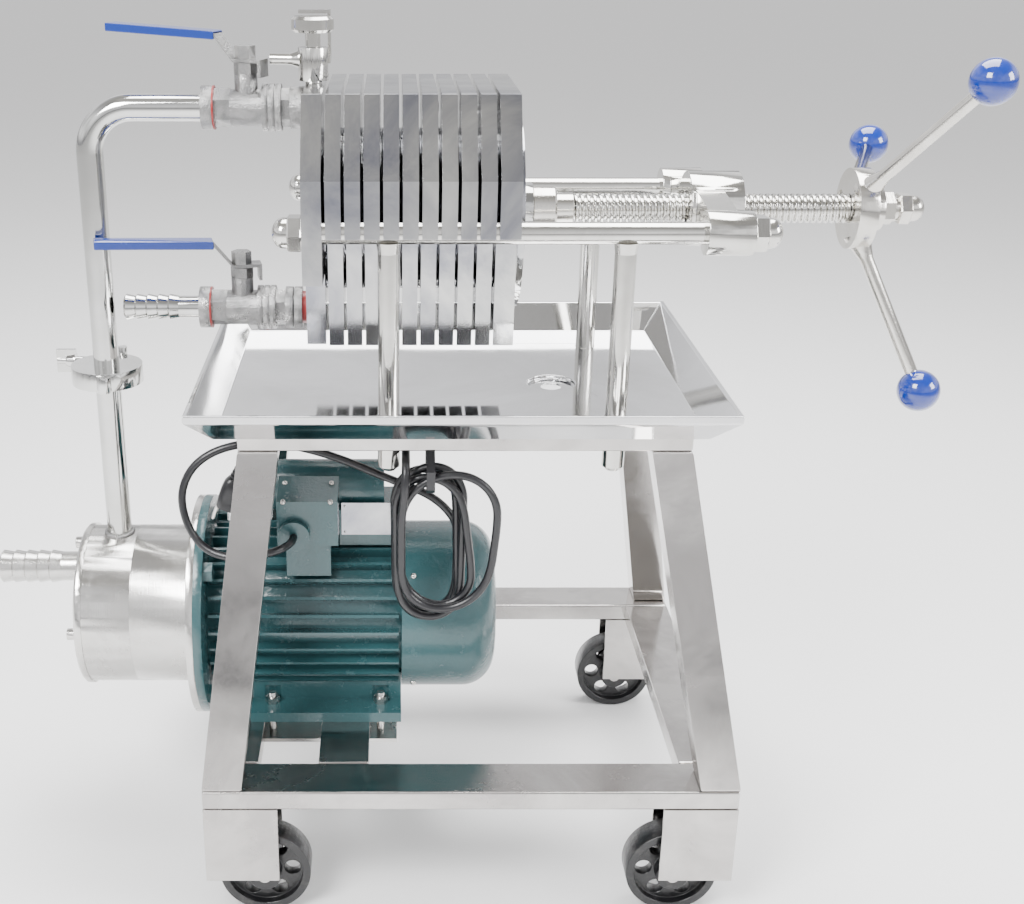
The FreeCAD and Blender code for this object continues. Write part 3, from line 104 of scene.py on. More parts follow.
def meshFrom(shape, name, smoothAngle=35):
    # Merges a bmesh, points its faces outwards and marks its hard edges.
    bmesh.ops.remove_doubles(shape, verts=shape.verts, dist=1e-6)
    bmesh.ops.recalc_face_normals(shape, faces=shape.faces)
    for face in shape.faces:
        face.smooth = True
    for edge in shape.edges:
        edge.smooth = edge.is_manifold and edge.calc_face_angle(0) < math.radians(smoothAngle)
    mesh = bpy.data.meshes.new(name)
    shape.to_mesh(mesh)
    shape.free()
    return mesh


def lathe(shape, steps, frameAt, segments=48):
    # Turns (distance along, radius) steps about the local Z of a matrix.
    rings = []
    for along, radius in steps:
        if radius < 1e-7:
            rings.append([shape.verts.new(frameAt @ Vector((0, 0, along)))])
            continue
        rings.append([shape.verts.new(frameAt @ Vector((radius * math.cos(2 * math.pi * turn / segments),
                                                        radius * math.sin(2 * math.pi * turn / segments), along)))
                      for turn in range(segments)])
    for low, high in zip(rings, rings[1:]):
        for turn in range(segments):
            after = (turn + 1) % segments
            if len(low) == 1 and len(high) == 1:
                continue
            if len(low) == 1:
                shape.faces.new((low[0], high[after], high[turn]))
            elif len(high) == 1:
                shape.faces.new((low[turn], low[after], high[0]))
            else:
                shape.faces.new((low[turn], low[after], high[after], high[turn]))


def joinLoops(shape, loops):
    # Skins a row of loops that have the same number of corners, and closes both ends.
    for low, high in zip(loops, loops[1:]):
        for corner in range(len(low)):
            after = (corner + 1) % len(low)
            shape.faces.new((low[corner], low[after], high[after], high[corner]))
    shape.faces.new(list(reversed(loops[0])))
    shape.faces.new(loops[-1])


def pointing(place, direction):
    turn = Vector(direction).to_track_quat("Z", "Y").to_matrix().to_4x4()
    return Matrix.Translation(Vector(place)) @ turn


# Motor lead: one flexible lead from the gland, round a loose hank and on to its plug

leadSizes = {
    "diameter": 0.008, "length": 2.47, "spacing": 0.0084, "backY": -0.0995,
    "pointsPerTurn": 18, "firstShare": 0.21, "turnCount": 4.86, "reach": 1.05,
    "turns": [  # left, right, top and bottom of each turn
        (-0.050, 0.005, 0.440, 0.282), (-0.055, 0.001, 0.436, 0.292), (-0.047, 0.010, 0.442, 0.277),
        (-0.054, 0.002, 0.434, 0.300), (-0.046, 0.047, 0.440, 0.312), (-0.048, 0.010, 0.440, 0.300)],
    "supply": [
        (-0.1560, -0.0780, 0.3520), (-0.1560, -0.0879, 0.3520), (-0.1648, -0.1032, 0.3515),
        (-0.1802, -0.1120, 0.3500), (-0.1985, -0.1125, 0.3470), (-0.2180, -0.1100, 0.3450),
        (-0.2370, -0.1040, 0.3490), (-0.2515, -0.0970, 0.3605), (-0.2610, -0.0910, 0.3790),
        (-0.2640, -0.0870, 0.4040), (-0.2540, -0.0840, 0.4280), (-0.2340, -0.0810, 0.4440),
        (-0.2060, -0.0780, 0.4520), (-0.1710, -0.0760, 0.4530), (-0.1350, -0.0790, 0.4460),
        (-0.1030, -0.0840, 0.4370), (-0.0740, -0.0900, 0.4260), (-0.0430, -0.0950, 0.4150),
        (-0.0225, -0.0965, 0.4065), (-0.0060, -0.0990, 0.3940)],
    "exit": [
        (-0.0470, -0.1402, 0.4170), (-0.0455, -0.1400, 0.4375), (-0.0450, -0.1325, 0.4505),
        (-0.0450, -0.1195, 0.4580), (-0.0450, -0.1045, 0.4585), (-0.0525, -0.0915, 0.4588),
        (-0.0655, -0.0840, 0.4590), (-0.0850, -0.0810, 0.4590), (-0.1060, -0.0775, 0.4590),
        (-0.1280, -0.0720, 0.4585), (-0.1480, -0.0660, 0.4578), (-0.1680, -0.0595, 0.4565),
        (-0.1846, -0.0545, 0.4549), (-0.1985, -0.0532, 0.4469), (-0.2065, -0.0530, 0.4330),
        (-0.2066, -0.0530, 0.4194)],
}


def turnPoint(sizes, turn):
    # The turns run clockwise seen from the front, with straight sides and round ends, each one nearer the front.
    index = min(int(turn), len(sizes["turns"]) - 2)
    here, after = sizes["turns"][index], sizes["turns"][index + 1]
    left, right, top, bottom = (a + (b - a) * (turn - index) for a, b in zip(here, after))
    half = (right - left) / 2
    straight = top - bottom - 2 * half
    run = (turn % 1) * (2 * math.pi * half + 2 * straight)
    quarter = math.pi * half / 2
    if run < quarter:
        across, up = math.sin(run / half), straight / 2 + half * math.cos(run / half)
    elif run < quarter + straight:
        across, up = 1, straight / 2 - (run - quarter)
    elif run < 3 * quarter + straight:
        angle = (run - quarter - straight) / half
        across, up = math.cos(angle), -straight / 2 - half * math.sin(angle)
    elif run < 3 * quarter + 2 * straight:
        across, up = -1, -straight / 2 + (run - 3 * quarter - straight)
    else:
        angle = (run - 3 * quarter - 2 * straight) / half
        across, up = -math.cos(angle), straight / 2 + half * math.sin(angle)
    reach = sizes["reach"]
    return ((left + right) / 2 + across * half * reach, sizes["backY"] - turn * sizes["spacing"],
            (top + bottom) / 2 + up * reach)


def hankPoints(sizes):
    count = round((sizes["turnCount"] - sizes["firstShare"]) * sizes["pointsPerTurn"])
    return [turnPoint(sizes, sizes["firstShare"] + step / sizes["pointsPerTurn"]) for step in range(count)]


def makeLead(sizes):
    data = bpy.data.curves.new("motorLead", "CURVE")
    data.dimensions = "3D"
    # The points carry the half diameter, so that the curve's box is the lead's own box.
    data.bevel_depth = 1
    data.bevel_resolution = 4
    data.resolution_u = 8
    data.use_fill_caps = True
    points = sizes["supply"] + hankPoints(sizes) + sizes["exit"]
    spline = data.splines.new("NURBS")
    spline.points.add(len(points) - 1)
    for point, place in zip(spline.points, points):
        point.co = (*place, 1)
        point.radius = sizes["diameter"] / 2
    spline.order_u = 3
    spline.use_endpoint_u = True
    cord = bpy.data.objects.new("motorLead", data)
    bpy.context.scene.collection.objects.link(cord)
    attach(cord, "stand")
    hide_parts("motor_lead", "lead_hank", "plug_lead")
    return cord


motorLead = makeLead(leadSizes)

plugSizes = {
    "relief": 0.016, "ribs": 4, "throat": 0.0055, "neck": 0.0082, "width": 0.025, "thickness": 0.019,
    "squareness": 0.55, "sides": 32, "lowerEnd": (-0.2240, -0.053, 0.3730),
    "body": [(0.0155, 0.62), (0.0165, 0.74), (0.021, 0.92), (0.028, 1), (0.040, 1), (0.0475, 0.95), (0.050, 0.84)],
    "pinStart": 0.0495, "pinRadius": 0.0024, "pinLength": 0.017, "pinSpread": 0.0095,
}


def makePlug(sizes, top):
    # A moulded plug: ribbed strain relief and a rounded body with a waist; its two round pins are made after it.
    along = (Vector(sizes["lowerEnd"]) - Vector(top)).normalized()
    across = Vector((0, 1, 0)).cross(along).normalized()
    placing = Matrix((across, along.cross(across), along)).transposed().to_4x4()
    placing.translation = Vector(top)
    shape = bmesh.new()
    steps = [(0, 0), (0, 0.0052)]
    for rib in range(sizes["ribs"]):
        start = sizes["relief"] * rib / sizes["ribs"]
        radius = sizes["throat"] + (sizes["neck"] - sizes["throat"]) * (rib + 1) / sizes["ribs"]
        steps += [(start + 0.0004, radius), (start + 0.0026, radius), (start + 0.0028, radius - 0.0009),
                  (start + 0.0038, radius - 0.0009)]
    steps += [(sizes["relief"] + 0.001, sizes["neck"] - 0.0008), (sizes["relief"] + 0.001, 0)]
    lathe(shape, steps, placing, 28)
    loops = []
    for height, grow in sizes["body"]:
        loop = []
        for turn in range(sizes["sides"]):
            angle = 2 * math.pi * turn / sizes["sides"]
            reach = [math.copysign(abs(value) ** sizes["squareness"], value)
                     for value in (math.cos(angle), math.sin(angle))]
            loop.append(shape.verts.new(placing @ Vector((reach[0] * sizes["width"] / 2 * grow,
                                                         reach[1] * sizes["thickness"] / 2 * grow, height))))
        loops.append(loop)
    joinLoops(shape, loops)
    return shape, placing


plugShape, plugPlace = makePlug(plugSizes, leadSizes["exit"][-1])
pinShape = bmesh.new()
for side in (-1, 1):
    pinStart = plugPlace @ Vector((side * plugSizes["pinSpread"], 0, plugSizes["pinStart"]))
    radius, reach = plugSizes["pinRadius"], plugSizes["pinLength"]
    lathe(pinShape, [(0, 0), (0, radius), (reach - 0.002, radius), (reach - 0.0006, radius * 0.7), (reach, 0)],
          pointing(pinStart, plugPlace.to_3x3() @ Vector((0, 0, 1))), 20)

leadPlug = addObject("leadPlug", meshFrom(plugShape, "leadPlug"), "stand", stands=("lead_plug",))
plugPins = addObject("plugPins", meshFrom(pinShape, "plugPins"), "stand")

strapSizes = {
    "across": -0.022, "width": 0.008, "thickness": 0.0012,
    "path": [(-0.129, 0.4640), (-0.1475, 0.4500), (-0.1470, 0.4330), (-0.1370, 0.4265), (-0.1020, 0.4265),
             (-0.0925, 0.4330), (-0.0920, 0.4640)],
}


def makeStrap(sizes):
    # A flat strap that hangs the hank's turns from the table rail.
    shape = bmesh.new()
    path = [Vector((0, *point)) for point in sizes["path"]]
    rings = []
    for index, point in enumerate(path):
        before, after = path[max(index - 1, 0)], path[min(index + 1, len(path) - 1)]
        normal = (after - before).normalized().cross(Vector((1, 0, 0)))
        ring = []
        for side, lift in ((-1, 0), (1, 0), (1, 1), (-1, 1)):
            place = point + normal * lift * sizes["thickness"]
            place.x = sizes["across"] + side * sizes["width"] / 2
            ring.append(shape.verts.new(place))
        rings.append(ring)
    joinLoops(shape, rings)
    return addObject("leadStrap", meshFrom(shape, "leadStrap"), "stand")


leadStrap = makeStrap(strapSizes)
print("camera and motor lead made")


# Finishes

metalInputs = [
    ("Vector", "Vector", None), ("Centre", "Vector", (0, 0, 0)), ("Turned", "Float", 0.0),
    ("Grain", "Vector", (4, 400, 400)), ("Grain Depth", "Float", 0.1), ("Wave Scale", "Float", 12.0),
    ("Wave Depth", "Float", 0.2), ("Smudge Scale", "Float", 9.0), ("Rough Low", "Float", 0.06),
    ("Rough High", "Float", 0.2), ("Light Color", "Color", (0.7, 0.69, 0.67, 1)),
    ("Dark Color", "Color", (0.55, 0.54, 0.52, 1)),
]


def metalGroup():
    # Polished or turned metal: fine grain, slow waves in the sheet, and smudges that dull it. The same patches mix
    # the light and dark colours, so where the dark colour is set far below the light one, as on the plates, they are
    # painted reflection.
    tree, given, result = newTree("metalSurface", "ShaderNodeTree", metalInputs,
                                  [("Color", "Color"), ("Roughness", "Float"), ("Normal", "Vector")])
    offset = addNode(tree, "ShaderNodeVectorMath", {0: given["Vector"], 1: given["Centre"]}, operation="SUBTRACT")
    split = addNode(tree, "ShaderNodeSeparateXYZ", {0: offset.outputs[0]})
    flat = addNode(tree, "ShaderNodeCombineXYZ", {"Y": split.outputs["Y"], "Z": split.outputs["Z"]})
    radius = addNode(tree, "ShaderNodeVectorMath", {0: flat.outputs[0]}, operation="LENGTH")
    lathed = addNode(tree, "ShaderNodeCombineXYZ", {"X": split.outputs["X"], "Y": radius.outputs["Value"]})
    way = addNode(tree, "ShaderNodeMix", {"Factor": given["Turned"], "A": offset.outputs[0],
                                          "B": lathed.outputs[0]}, data_type="VECTOR")
    stretched = addNode(tree, "ShaderNodeVectorMath", {0: way.outputs["Result"], 1: given["Grain"]},
                        operation="MULTIPLY")
    grain = addNode(tree, "ShaderNodeTexNoise", {"Vector": stretched.outputs[0], "Scale": 1.0, "Detail": 4.0})
    wave = addNode(tree, "ShaderNodeTexNoise", {"Vector": given["Vector"], "Scale": given["Wave Scale"],
                                                "Detail": 1.0})
    smudgeAndReflection = addNode(tree, "ShaderNodeTexNoise", {"Vector": given["Vector"], "Scale": given["Smudge Scale"],
                                                  "Detail": 6.0, "Roughness": 0.62, "Distortion": 0.6})
    smudgeAndReflectionPatches = addNode(tree, "ShaderNodeMapRange", {"Value": smudgeAndReflection.outputs[0], "From Min": 0.38, "From Max": 0.68})
    grainHeight = addNode(tree, "ShaderNodeMath", {0: grain.outputs[0], 1: given["Grain Depth"]},
                          operation="MULTIPLY")
    waveHeight = addNode(tree, "ShaderNodeMath", {0: wave.outputs[0], 1: given["Wave Depth"]}, operation="MULTIPLY")
    height = addNode(tree, "ShaderNodeMath", {0: grainHeight.outputs[0], 1: waveHeight.outputs[0]}, operation="ADD")
    bump = addNode(tree, "ShaderNodeBump", {"Height": height.outputs[0], "Distance": 0.002, "Strength": 1.0})
    grainShare = addNode(tree, "ShaderNodeMath", {0: grain.outputs[0], 1: 0.4}, operation="MULTIPLY")
    dull = addNode(tree, "ShaderNodeMath", {0: smudgeAndReflectionPatches.outputs[0], 1: grainShare.outputs[0]}, operation="MULTIPLY")
    dullMore = addNode(tree, "ShaderNodeMath", {0: smudgeAndReflectionPatches.outputs[0], 1: dull.outputs[0]}, operation="ADD",
                       use_clamp=True)
    rough = addNode(tree, "ShaderNodeMapRange", {"Value": dullMore.outputs[0], "To Min": given["Rough Low"],
                                                 "To Max": given["Rough High"]})
    # Mixes the light and dark colours by the patches: real smudges, and on the plates painted reflection.
    color = addNode(tree, "ShaderNodeMix", {"Factor": smudgeAndReflectionPatches.outputs[0], "A": given["Light Color"],
                                            "B": given["Dark Color"]}, data_type="RGBA")
    tree.links.new(color.outputs["Result"], result["Color"])
    tree.links.new(rough.outputs[0], result["Roughness"])
    tree.links.new(bump.outputs[0], result["Normal"])
    return tree


coatInputs = [
    ("Vector", "Vector", None), ("Paint", "Color", (0.1, 0.1, 0.1, 1)), ("Worn", "Color", (0.2, 0.2, 0.2, 1)),
    ("Wear Scale", "Float", 30.0), ("Wear Amount", "Float", 0.2), ("Texture Scale", "Float", 300.0),
    ("Texture Depth", "Float", 0.3), ("Rough Low", "Float", 0.25), ("Rough High", "Float", 0.5),
]


def coatGroup():
    # Paint, plastic or rubber: an even skin with orange peel, dusty or rubbed patches and fine speckle.
    tree, given, result = newTree("coatSurface", "ShaderNodeTree", coatInputs,
                                  [("Color", "Color"), ("Roughness", "Float"), ("Normal", "Vector")])
    peel = addNode(tree, "ShaderNodeTexNoise", {"Vector": given["Vector"], "Scale": given["Texture Scale"],
                                                "Detail": 3.0})
    wear = addNode(tree, "ShaderNodeTexNoise", {"Vector": given["Vector"], "Scale": given["Wear Scale"],
                                                "Detail": 8.0, "Roughness": 0.7})
    edge = addNode(tree, "ShaderNodeMath", {0: 0.72, 1: given["Wear Amount"]}, operation="SUBTRACT")
    worn = addNode(tree, "ShaderNodeMapRange", {"Value": wear.outputs[0], "From Min": edge.outputs[0],
                                                "From Max": 0.8})
    height = addNode(tree, "ShaderNodeMath", {0: peel.outputs[0], 1: given["Texture Depth"]}, operation="MULTIPLY")
    bump = addNode(tree, "ShaderNodeBump", {"Height": height.outputs[0], "Distance": 0.001, "Strength": 1.0})
    rough = addNode(tree, "ShaderNodeMapRange", {"Value": worn.outputs[0], "To Min": given["Rough Low"],
                                                 "To Max": given["Rough High"]})
    color = addNode(tree, "ShaderNodeMix", {"Factor": worn.outputs[0], "A": given["Paint"], "B": given["Worn"]},
                    data_type="RGBA")
    tree.links.new(color.outputs["Result"], result["Color"])
    tree.links.new(rough.outputs[0], result["Roughness"])
    tree.links.new(bump.outputs[0], result["Normal"])
    return tree


groups = {"metal": metalGroup(), "coat": coatGroup()}


def finish(name, kind, metallic=0.0, coat=0.0, coatRoughness=0.1, specular=0.5, **values):
    # A material from one of the two groups, with its own values.
    material = bpy.data.materials.new(name)
    material.use_nodes = True
    tree = material.node_tree
    shader = tree.nodes["Principled BSDF"]
    shader.inputs["Metallic"].default_value = metallic
    shader.inputs["Coat Weight"].default_value = coat
    shader.inputs["Coat Roughness"].default_value = coatRoughness
    shader.inputs["Specular IOR Level"].default_value = specular
    place = tree.nodes.new("ShaderNodeTexCoord")
    surface = addNode(tree, "ShaderNodeGroup", node_tree=groups[kind])
    tree.links.new(place.outputs["Object"], surface.inputs["Vector"])
    for socket, value in values.items():
        spaced = "".join(" " + letter if letter.isupper() else letter for letter in socket).strip().title()
        surface.inputs[spaced].default_value = value
    tree.links.new(surface.outputs["Color"], shader.inputs["Base Color"])
    tree.links.new(surface.outputs["Roughness"], shader.inputs["Roughness"])
    tree.links.new(surface.outputs["Normal"], shader.inputs["Normal"])
    return material


pumpAxis = tuple((low + high) / 2 for low, high in zip(*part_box("pump_casing")))
screwAxis = (0, 0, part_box("press_screw")[0].z / 2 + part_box("press_screw")[1].z / 2)

finishes = {
    "frameSteel": finish("frameSteel", "metal", 1.0, lightColor=(0.6, 0.58, 0.56, 1),
                         darkColor=(0.42, 0.4, 0.39, 1), grain=(350, 350, 60), grainDepth=0.012, waveScale=14,
                         waveDepth=0.45, smudgeScale=9, roughLow=0.1, roughHigh=0.28),
    "traySteel": finish("traySteel", "metal", 1.0, lightColor=(0.72, 0.72, 0.73, 1), darkColor=(0.6, 0.6, 0.6, 1),
                        grain=(60, 60, 60), grainDepth=0.004, waveScale=6, waveDepth=0.45, smudgeScale=6,
                        roughLow=0.03, roughHigh=0.11),
    "rodSteel": finish("rodSteel", "metal", 1.0, lightColor=(0.68, 0.67, 0.64, 1), darkColor=(0.56, 0.55, 0.52, 1),
                       grain=(300, 40, 40), grainDepth=0.03, waveScale=30, waveDepth=0.15, smudgeScale=14,
                       roughLow=0.06, roughHigh=0.18),
    # Painted reflection: the plates' bluish dark colour, laid in by the smudge patches, stands in for dark
    # surroundings mirrored in the polished plates.
    "plateSteel": finish("plateSteel", "metal", 1.0, lightColor=(0.6, 0.6, 0.585, 1),
                         darkColor=(0.2, 0.205, 0.25, 1), grain=(500, 30, 30), grainDepth=0.01, waveScale=12,
                         waveDepth=0.5, smudgeScale=7, roughLow=0.05, roughHigh=0.17),
    "pumpSteel": finish("pumpSteel", "metal", 1.0, lightColor=(0.68, 0.67, 0.65, 1), darkColor=(0.56, 0.55, 0.53, 1),
                        centre=pumpAxis, turned=1.0, grain=(900, 900, 1), grainDepth=0.07, waveScale=18,
                        waveDepth=0.1, smudgeScale=16, roughLow=0.14, roughHigh=0.3),
    "pipeSteel": finish("pipeSteel", "metal", 1.0, lightColor=(0.64, 0.64, 0.63, 1), darkColor=(0.54, 0.54, 0.52, 1),
                        grain=(200, 200, 20), grainDepth=0.02, waveScale=25, waveDepth=0.12, smudgeScale=12,
                        roughLow=0.05, roughHigh=0.16),
    "castSteel": finish("castSteel", "metal", 1.0, lightColor=(0.36, 0.355, 0.35, 1), darkColor=(0.2, 0.2, 0.2, 1),
                        grain=(700, 700, 700), grainDepth=0.35, waveScale=60, waveDepth=0.2, smudgeScale=40,
                        roughLow=0.25, roughHigh=0.42),
    "hubSteel": finish("hubSteel", "metal", 1.0, lightColor=(0.68, 0.66, 0.62, 1), darkColor=(0.56, 0.54, 0.5, 1),
                       centre=screwAxis, turned=1.0, grain=(600, 600, 1), grainDepth=0.08, waveScale=24,
                       waveDepth=0.12, smudgeScale=20, roughLow=0.1, roughHigh=0.24),
    "motorPaint": finish("motorPaint", "coat", 0.0, 0.35, 0.15, paint=(0.026, 0.082, 0.09, 1),
                         worn=(0.06, 0.14, 0.15, 1), wearScale=45, wearAmount=0.12, textureScale=260,
                         textureDepth=0.5, roughLow=0.26, roughHigh=0.5),
    "knobBlue": finish("knobBlue", "coat", 0.0, 1.0, 0.03, paint=(0.001, 0.022, 0.24, 1), worn=(0.002, 0.03, 0.28, 1),
                       wearScale=20, wearAmount=0.1, textureScale=60, textureDepth=0.02, roughLow=0.12,
                       roughHigh=0.22),
    "gripBlue": finish("gripBlue", "coat", 0.0, 0.7, 0.12, paint=(0.002, 0.026, 0.22, 1),
                       worn=(0.006, 0.045, 0.28, 1), wearScale=35, wearAmount=0.15, textureScale=90,
                       textureDepth=0.25, roughLow=0.22, roughHigh=0.4),
    "wheelBlack": finish("wheelBlack", "coat", 0.0, 0.25, 0.2, paint=(0.006, 0.006, 0.007, 1),
                         worn=(0.05, 0.048, 0.045, 1), wearScale=50, wearAmount=0.16, textureScale=220,
                         textureDepth=0.5, roughLow=0.3, roughHigh=0.6),
    "gasketRed": finish("gasketRed", "coat", 0.0, 0.1, 0.3, paint=(0.3, 0.012, 0.012, 1), worn=(0.4, 0.05, 0.04, 1),
                        wearScale=60, wearAmount=0.1, textureScale=200, textureDepth=0.3, roughLow=0.35,
                        roughHigh=0.55),
    "leadBlack": finish("leadBlack", "coat", 0.0, 0.15, 0.25, paint=(0.007, 0.007, 0.009, 1),
                        worn=(0.03, 0.03, 0.03, 1), wearScale=70, wearAmount=0.12, textureScale=500,
                        textureDepth=0.25, roughLow=0.3, roughHigh=0.5),
}

nodeFinishes = {
    "frameSteel": ["base_long_bars", "base_side_bars", "motor_cross_bar", "wheel_brackets", "wheel_axles", "legs",
                   "table_long_rails", "table_end_rails"],
    "traySteel": ["drip_tray"],
    "rodSteel": ["guide_rods", "posts", "rod_nuts", "crosshead", "press_screw", "vent_cock", "vent_knob"],
    "plateSteel": ["head_plate", "follower_plate"] + [f"filter_plate_{index}" for index in range(1, 10)],
    "pumpSteel": ["pump_cover", "pump_casing", "inlet_barb", "foot_clamps"],
    "hubSteel": ["handwheel"],
    "pipeSteel": ["lower_pipe", "upper_pipe", "pipe_clamp", "outlet_barb"],
    "castSteel": ["feed_valve", "outlet_valve", "feed_lever", "outlet_lever"],
    "motorPaint": ["motor_flange", "motor_frame", "fan_cover", "terminal_box", "capacitor_box"],
    "knobBlue": ["handwheel_knobs"],
    "gripBlue": ["feed_grip", "outlet_grip"],
    "wheelBlack": ["wheel_front_left", "wheel_front_right", "wheel_rear_left", "wheel_rear_right"],
    "gasketRed": ["clamp_gasket", "valve_gaskets"],
    "leadBlack": ["motor_lead", "lead_hank", "plug_lead", "lead_plug"],
}
for finishName, names in nodeFinishes.items():
    for name in names:
        node = cadNodes[name]
        node.data.materials.clear()
        node.data.materials.append(finishes[finishName])
motorLead.data.materials.append(finishes["leadBlack"])
leadPlug.data.materials.append(finishes["leadBlack"])
plugPins.data.materials.append(finishes["rodSteel"])
leadStrap.data.materials.append(finishes["leadBlack"])
print("finishes placed")


# Rounded edges on the CAD pieces that stay: the width of the rounding, and the nodes that have it

edgeRounding = {
    0.0025: ["base_long_bars", "base_side_bars", "motor_cross_bar", "legs", "table_long_rails", "table_end_rails",
             "terminal_box"],
    0.0022: ["feed_grip", "outlet_grip"],
    0.0010: ["crosshead", "capacitor_box", "wheel_front_left", "wheel_front_right", "wheel_rear_left",
             "wheel_rear_right", "motor_flange", "pump_cover", "drip_tray"],
    0.0007: ["head_plate", "follower_plate", "feed_lever", "outlet_lever", "pipe_clamp", "feed_valve",
             "outlet_valve", "vent_cock", "motor_frame", "foot_clamps", "handwheel", "wheel_brackets",
             "pump_casing"] + [f"filter_plate_{index}" for index in range(1, 10)],
}


def softenEdges(node, width):
    weld = node.modifiers.new("weld", "WELD")
    weld.merge_threshold = 2e-5
    bevel = node.modifiers.new("edges", "BEVEL")
    bevel.width = width
    bevel.segments = 2
    bevel.limit_method = "ANGLE"
    bevel.angle_limit = math.radians(38)
    bevel.harden_normals = True


for width, names in edgeRounding.items():
    for name in names:
        softenEdges(cadNodes[name], width)
print("edges softened")


# Press screw: turned collar and a trapezoidal thread

screwSizes = {
    "pitch": 0.006, "crest": 0.014, "root": 0.0112, "noseRadius": 0.010, "noseLength": 0.012,
    "collarRadius": 0.022, "collarLength": 0.023, "neckRadius": 0.015, "neckLength": 0.017, "stepsPerTurn": 12,
}


def threadTree():
    # A grid rolled into a tube whose radius follows the thread's profile.
    tree, given, result = newTree(
        "threadedRod", "GeometryNodeTree",
        [("Geometry", "Geometry", None), ("Start", "Float", 0.0), ("Length", "Float", 0.1),
         ("Pitch", "Float", 0.006), ("Crest", "Float", 0.014), ("Root", "Float", 0.011), ("Height", "Float", 0.6),
         ("Steps", "Int", 200), ("Material", "Material", None)], [("Geometry", "Geometry")])

    def maths(operation, *values):
        return addNode(tree, "ShaderNodeMath", dict(enumerate(values)), operation=operation).outputs[0]

    grid = addNode(tree, "GeometryNodeMeshGrid", {"Size X": 1.0, "Size Y": 1.0, "Vertices X": given["Steps"],
                                                  "Vertices Y": 41})
    place = addNode(tree, "ShaderNodeSeparateXYZ", {0: tree.nodes.new("GeometryNodeInputPosition").outputs[0]})
    along = maths("ADD", place.outputs["X"], 0.5)
    turn = maths("ADD", place.outputs["Y"], 0.5)
    reach = maths("MULTIPLY", along, given["Length"])
    phase = maths("FRACT", maths("SUBTRACT", maths("DIVIDE", reach, given["Pitch"]), turn))
    ridge = maths("ABSOLUTE", maths("SUBTRACT", maths("MULTIPLY", phase, 2.0), 1.0))
    profile = addNode(tree, "ShaderNodeMapRange", {"Value": ridge, "From Min": 0.36, "From Max": 0.62,
                                                   "To Min": given["Root"], "To Max": given["Crest"]})
    inside = maths("MULTIPLY", maths("GREATER_THAN", along, 0.0005), maths("LESS_THAN", along, 0.9995))
    radius = maths("MULTIPLY", profile.outputs[0], inside)
    angle = maths("MULTIPLY", turn, 2 * math.pi)
    rolled = addNode(tree, "ShaderNodeCombineXYZ", {
        "X": maths("ADD", given["Start"], reach), "Y": maths("MULTIPLY", radius, maths("COSINE", angle)),
        "Z": maths("ADD", given["Height"], maths("MULTIPLY", radius, maths("SINE", angle)))})
    moved = addNode(tree, "GeometryNodeSetPosition", {"Geometry": grid.outputs["Mesh"],
                                                      "Position": rolled.outputs[0]})
    joined = addNode(tree, "GeometryNodeMergeByDistance", {"Geometry": moved.outputs[0], "Distance": 1e-6})
    real = addNode(tree, "GeometryNodeRealizeInstances", {"Geometry": joined.outputs[0]})
    painted = addNode(tree, "GeometryNodeSetMaterial", {"Geometry": real.outputs[0], "Material": given["Material"]})
    tree.links.new(painted.outputs[0], result["Geometry"])
    return tree


def grownMesh(name, tree, values, points=()):
    # Runs a Geometry Nodes tree once on a mesh of these points and returns its result as a plain mesh.
    seed = bpy.data.meshes.new(name + "Seed")
    seed.from_pydata(points, [], [])
    holder = bpy.data.objects.new(name + "Seed", seed)
    bpy.context.scene.collection.objects.link(holder)
    modifier = holder.modifiers.new("grow", "NODES")
    modifier.node_group = tree
    sockets = {item.name: item.identifier for item in tree.interface.items_tree if item.in_out == "INPUT"}
    for socket, value in values.items():
        modifier[sockets[socket]] = value
    graph = bpy.context.evaluated_depsgraph_get()
    mesh = bpy.data.meshes.new_from_object(holder.evaluated_get(graph))
    mesh.name = name
    bpy.data.objects.remove(holder)
    return mesh


def cleanedMesh(mesh, smoothAngle=50):
    # Welds a grown mesh, points its faces outwards and marks its hard edges.
    shape = bmesh.new()
    shape.from_mesh(mesh)
    return meshFrom(shape, mesh.name, smoothAngle)


def makeScrew(sizes):
    low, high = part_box("press_screw")
    axis = (low.z + high.z) / 2
    seat = low.x + sizes["noseLength"]
    neckEnd = seat + sizes["collarLength"] + sizes["neckLength"]
    threadLength = high.x - neckEnd
    steps = int(threadLength / sizes["pitch"] * sizes["stepsPerTurn"])
    mesh = grownMesh("pressScrewThread", threadTree(), {
        "Start": neckEnd, "Length": threadLength, "Pitch": sizes["pitch"], "Crest": sizes["crest"],
        "Root": sizes["root"], "Height": axis, "Steps": steps, "Material": finishes["rodSteel"]})
    thread = addObject("pressScrewThread", cleanedMesh(mesh), "screw")
    thread.data.materials.clear()
    thread.data.materials.append(finishes["rodSteel"])
    nose, collar, neck = sizes["noseRadius"], sizes["collarRadius"], sizes["neckRadius"]
    length = sizes["collarLength"]
    shape = bmesh.new()
    lathe(shape, [(0, 0), (0, nose), (sizes["noseLength"], nose), (sizes["noseLength"], collar - 0.0012),
                  (sizes["noseLength"] + 0.0012, collar), (sizes["noseLength"] + length - 0.002, collar),
                  (sizes["noseLength"] + length, collar - 0.002), (sizes["noseLength"] + length + 0.0005, neck),
                  (neckEnd - low.x - 0.001, neck), (neckEnd - low.x, neck - 0.001), (neckEnd - low.x, 0)],
          pointing((low.x, 0, axis), (1, 0, 0)), 64)
    addObject("pressScrewCollar", meshFrom(shape, "pressScrewCollar"), "screw",
              finishes["hubSteel"], ("press_screw",))


makeScrew(screwSizes)
print("press screw made")


# Domed cap nuts on the rod ends and the hub

nutSizes = {
    "rodRadius": 0.010, "across": 0.030, "hexLength": 0.013, "domeLength": 0.014, "hubSeat": 0.026,
    "hubAcross": 0.0274, "hubHex": 0.012, "hubDome": 0.0142,
}


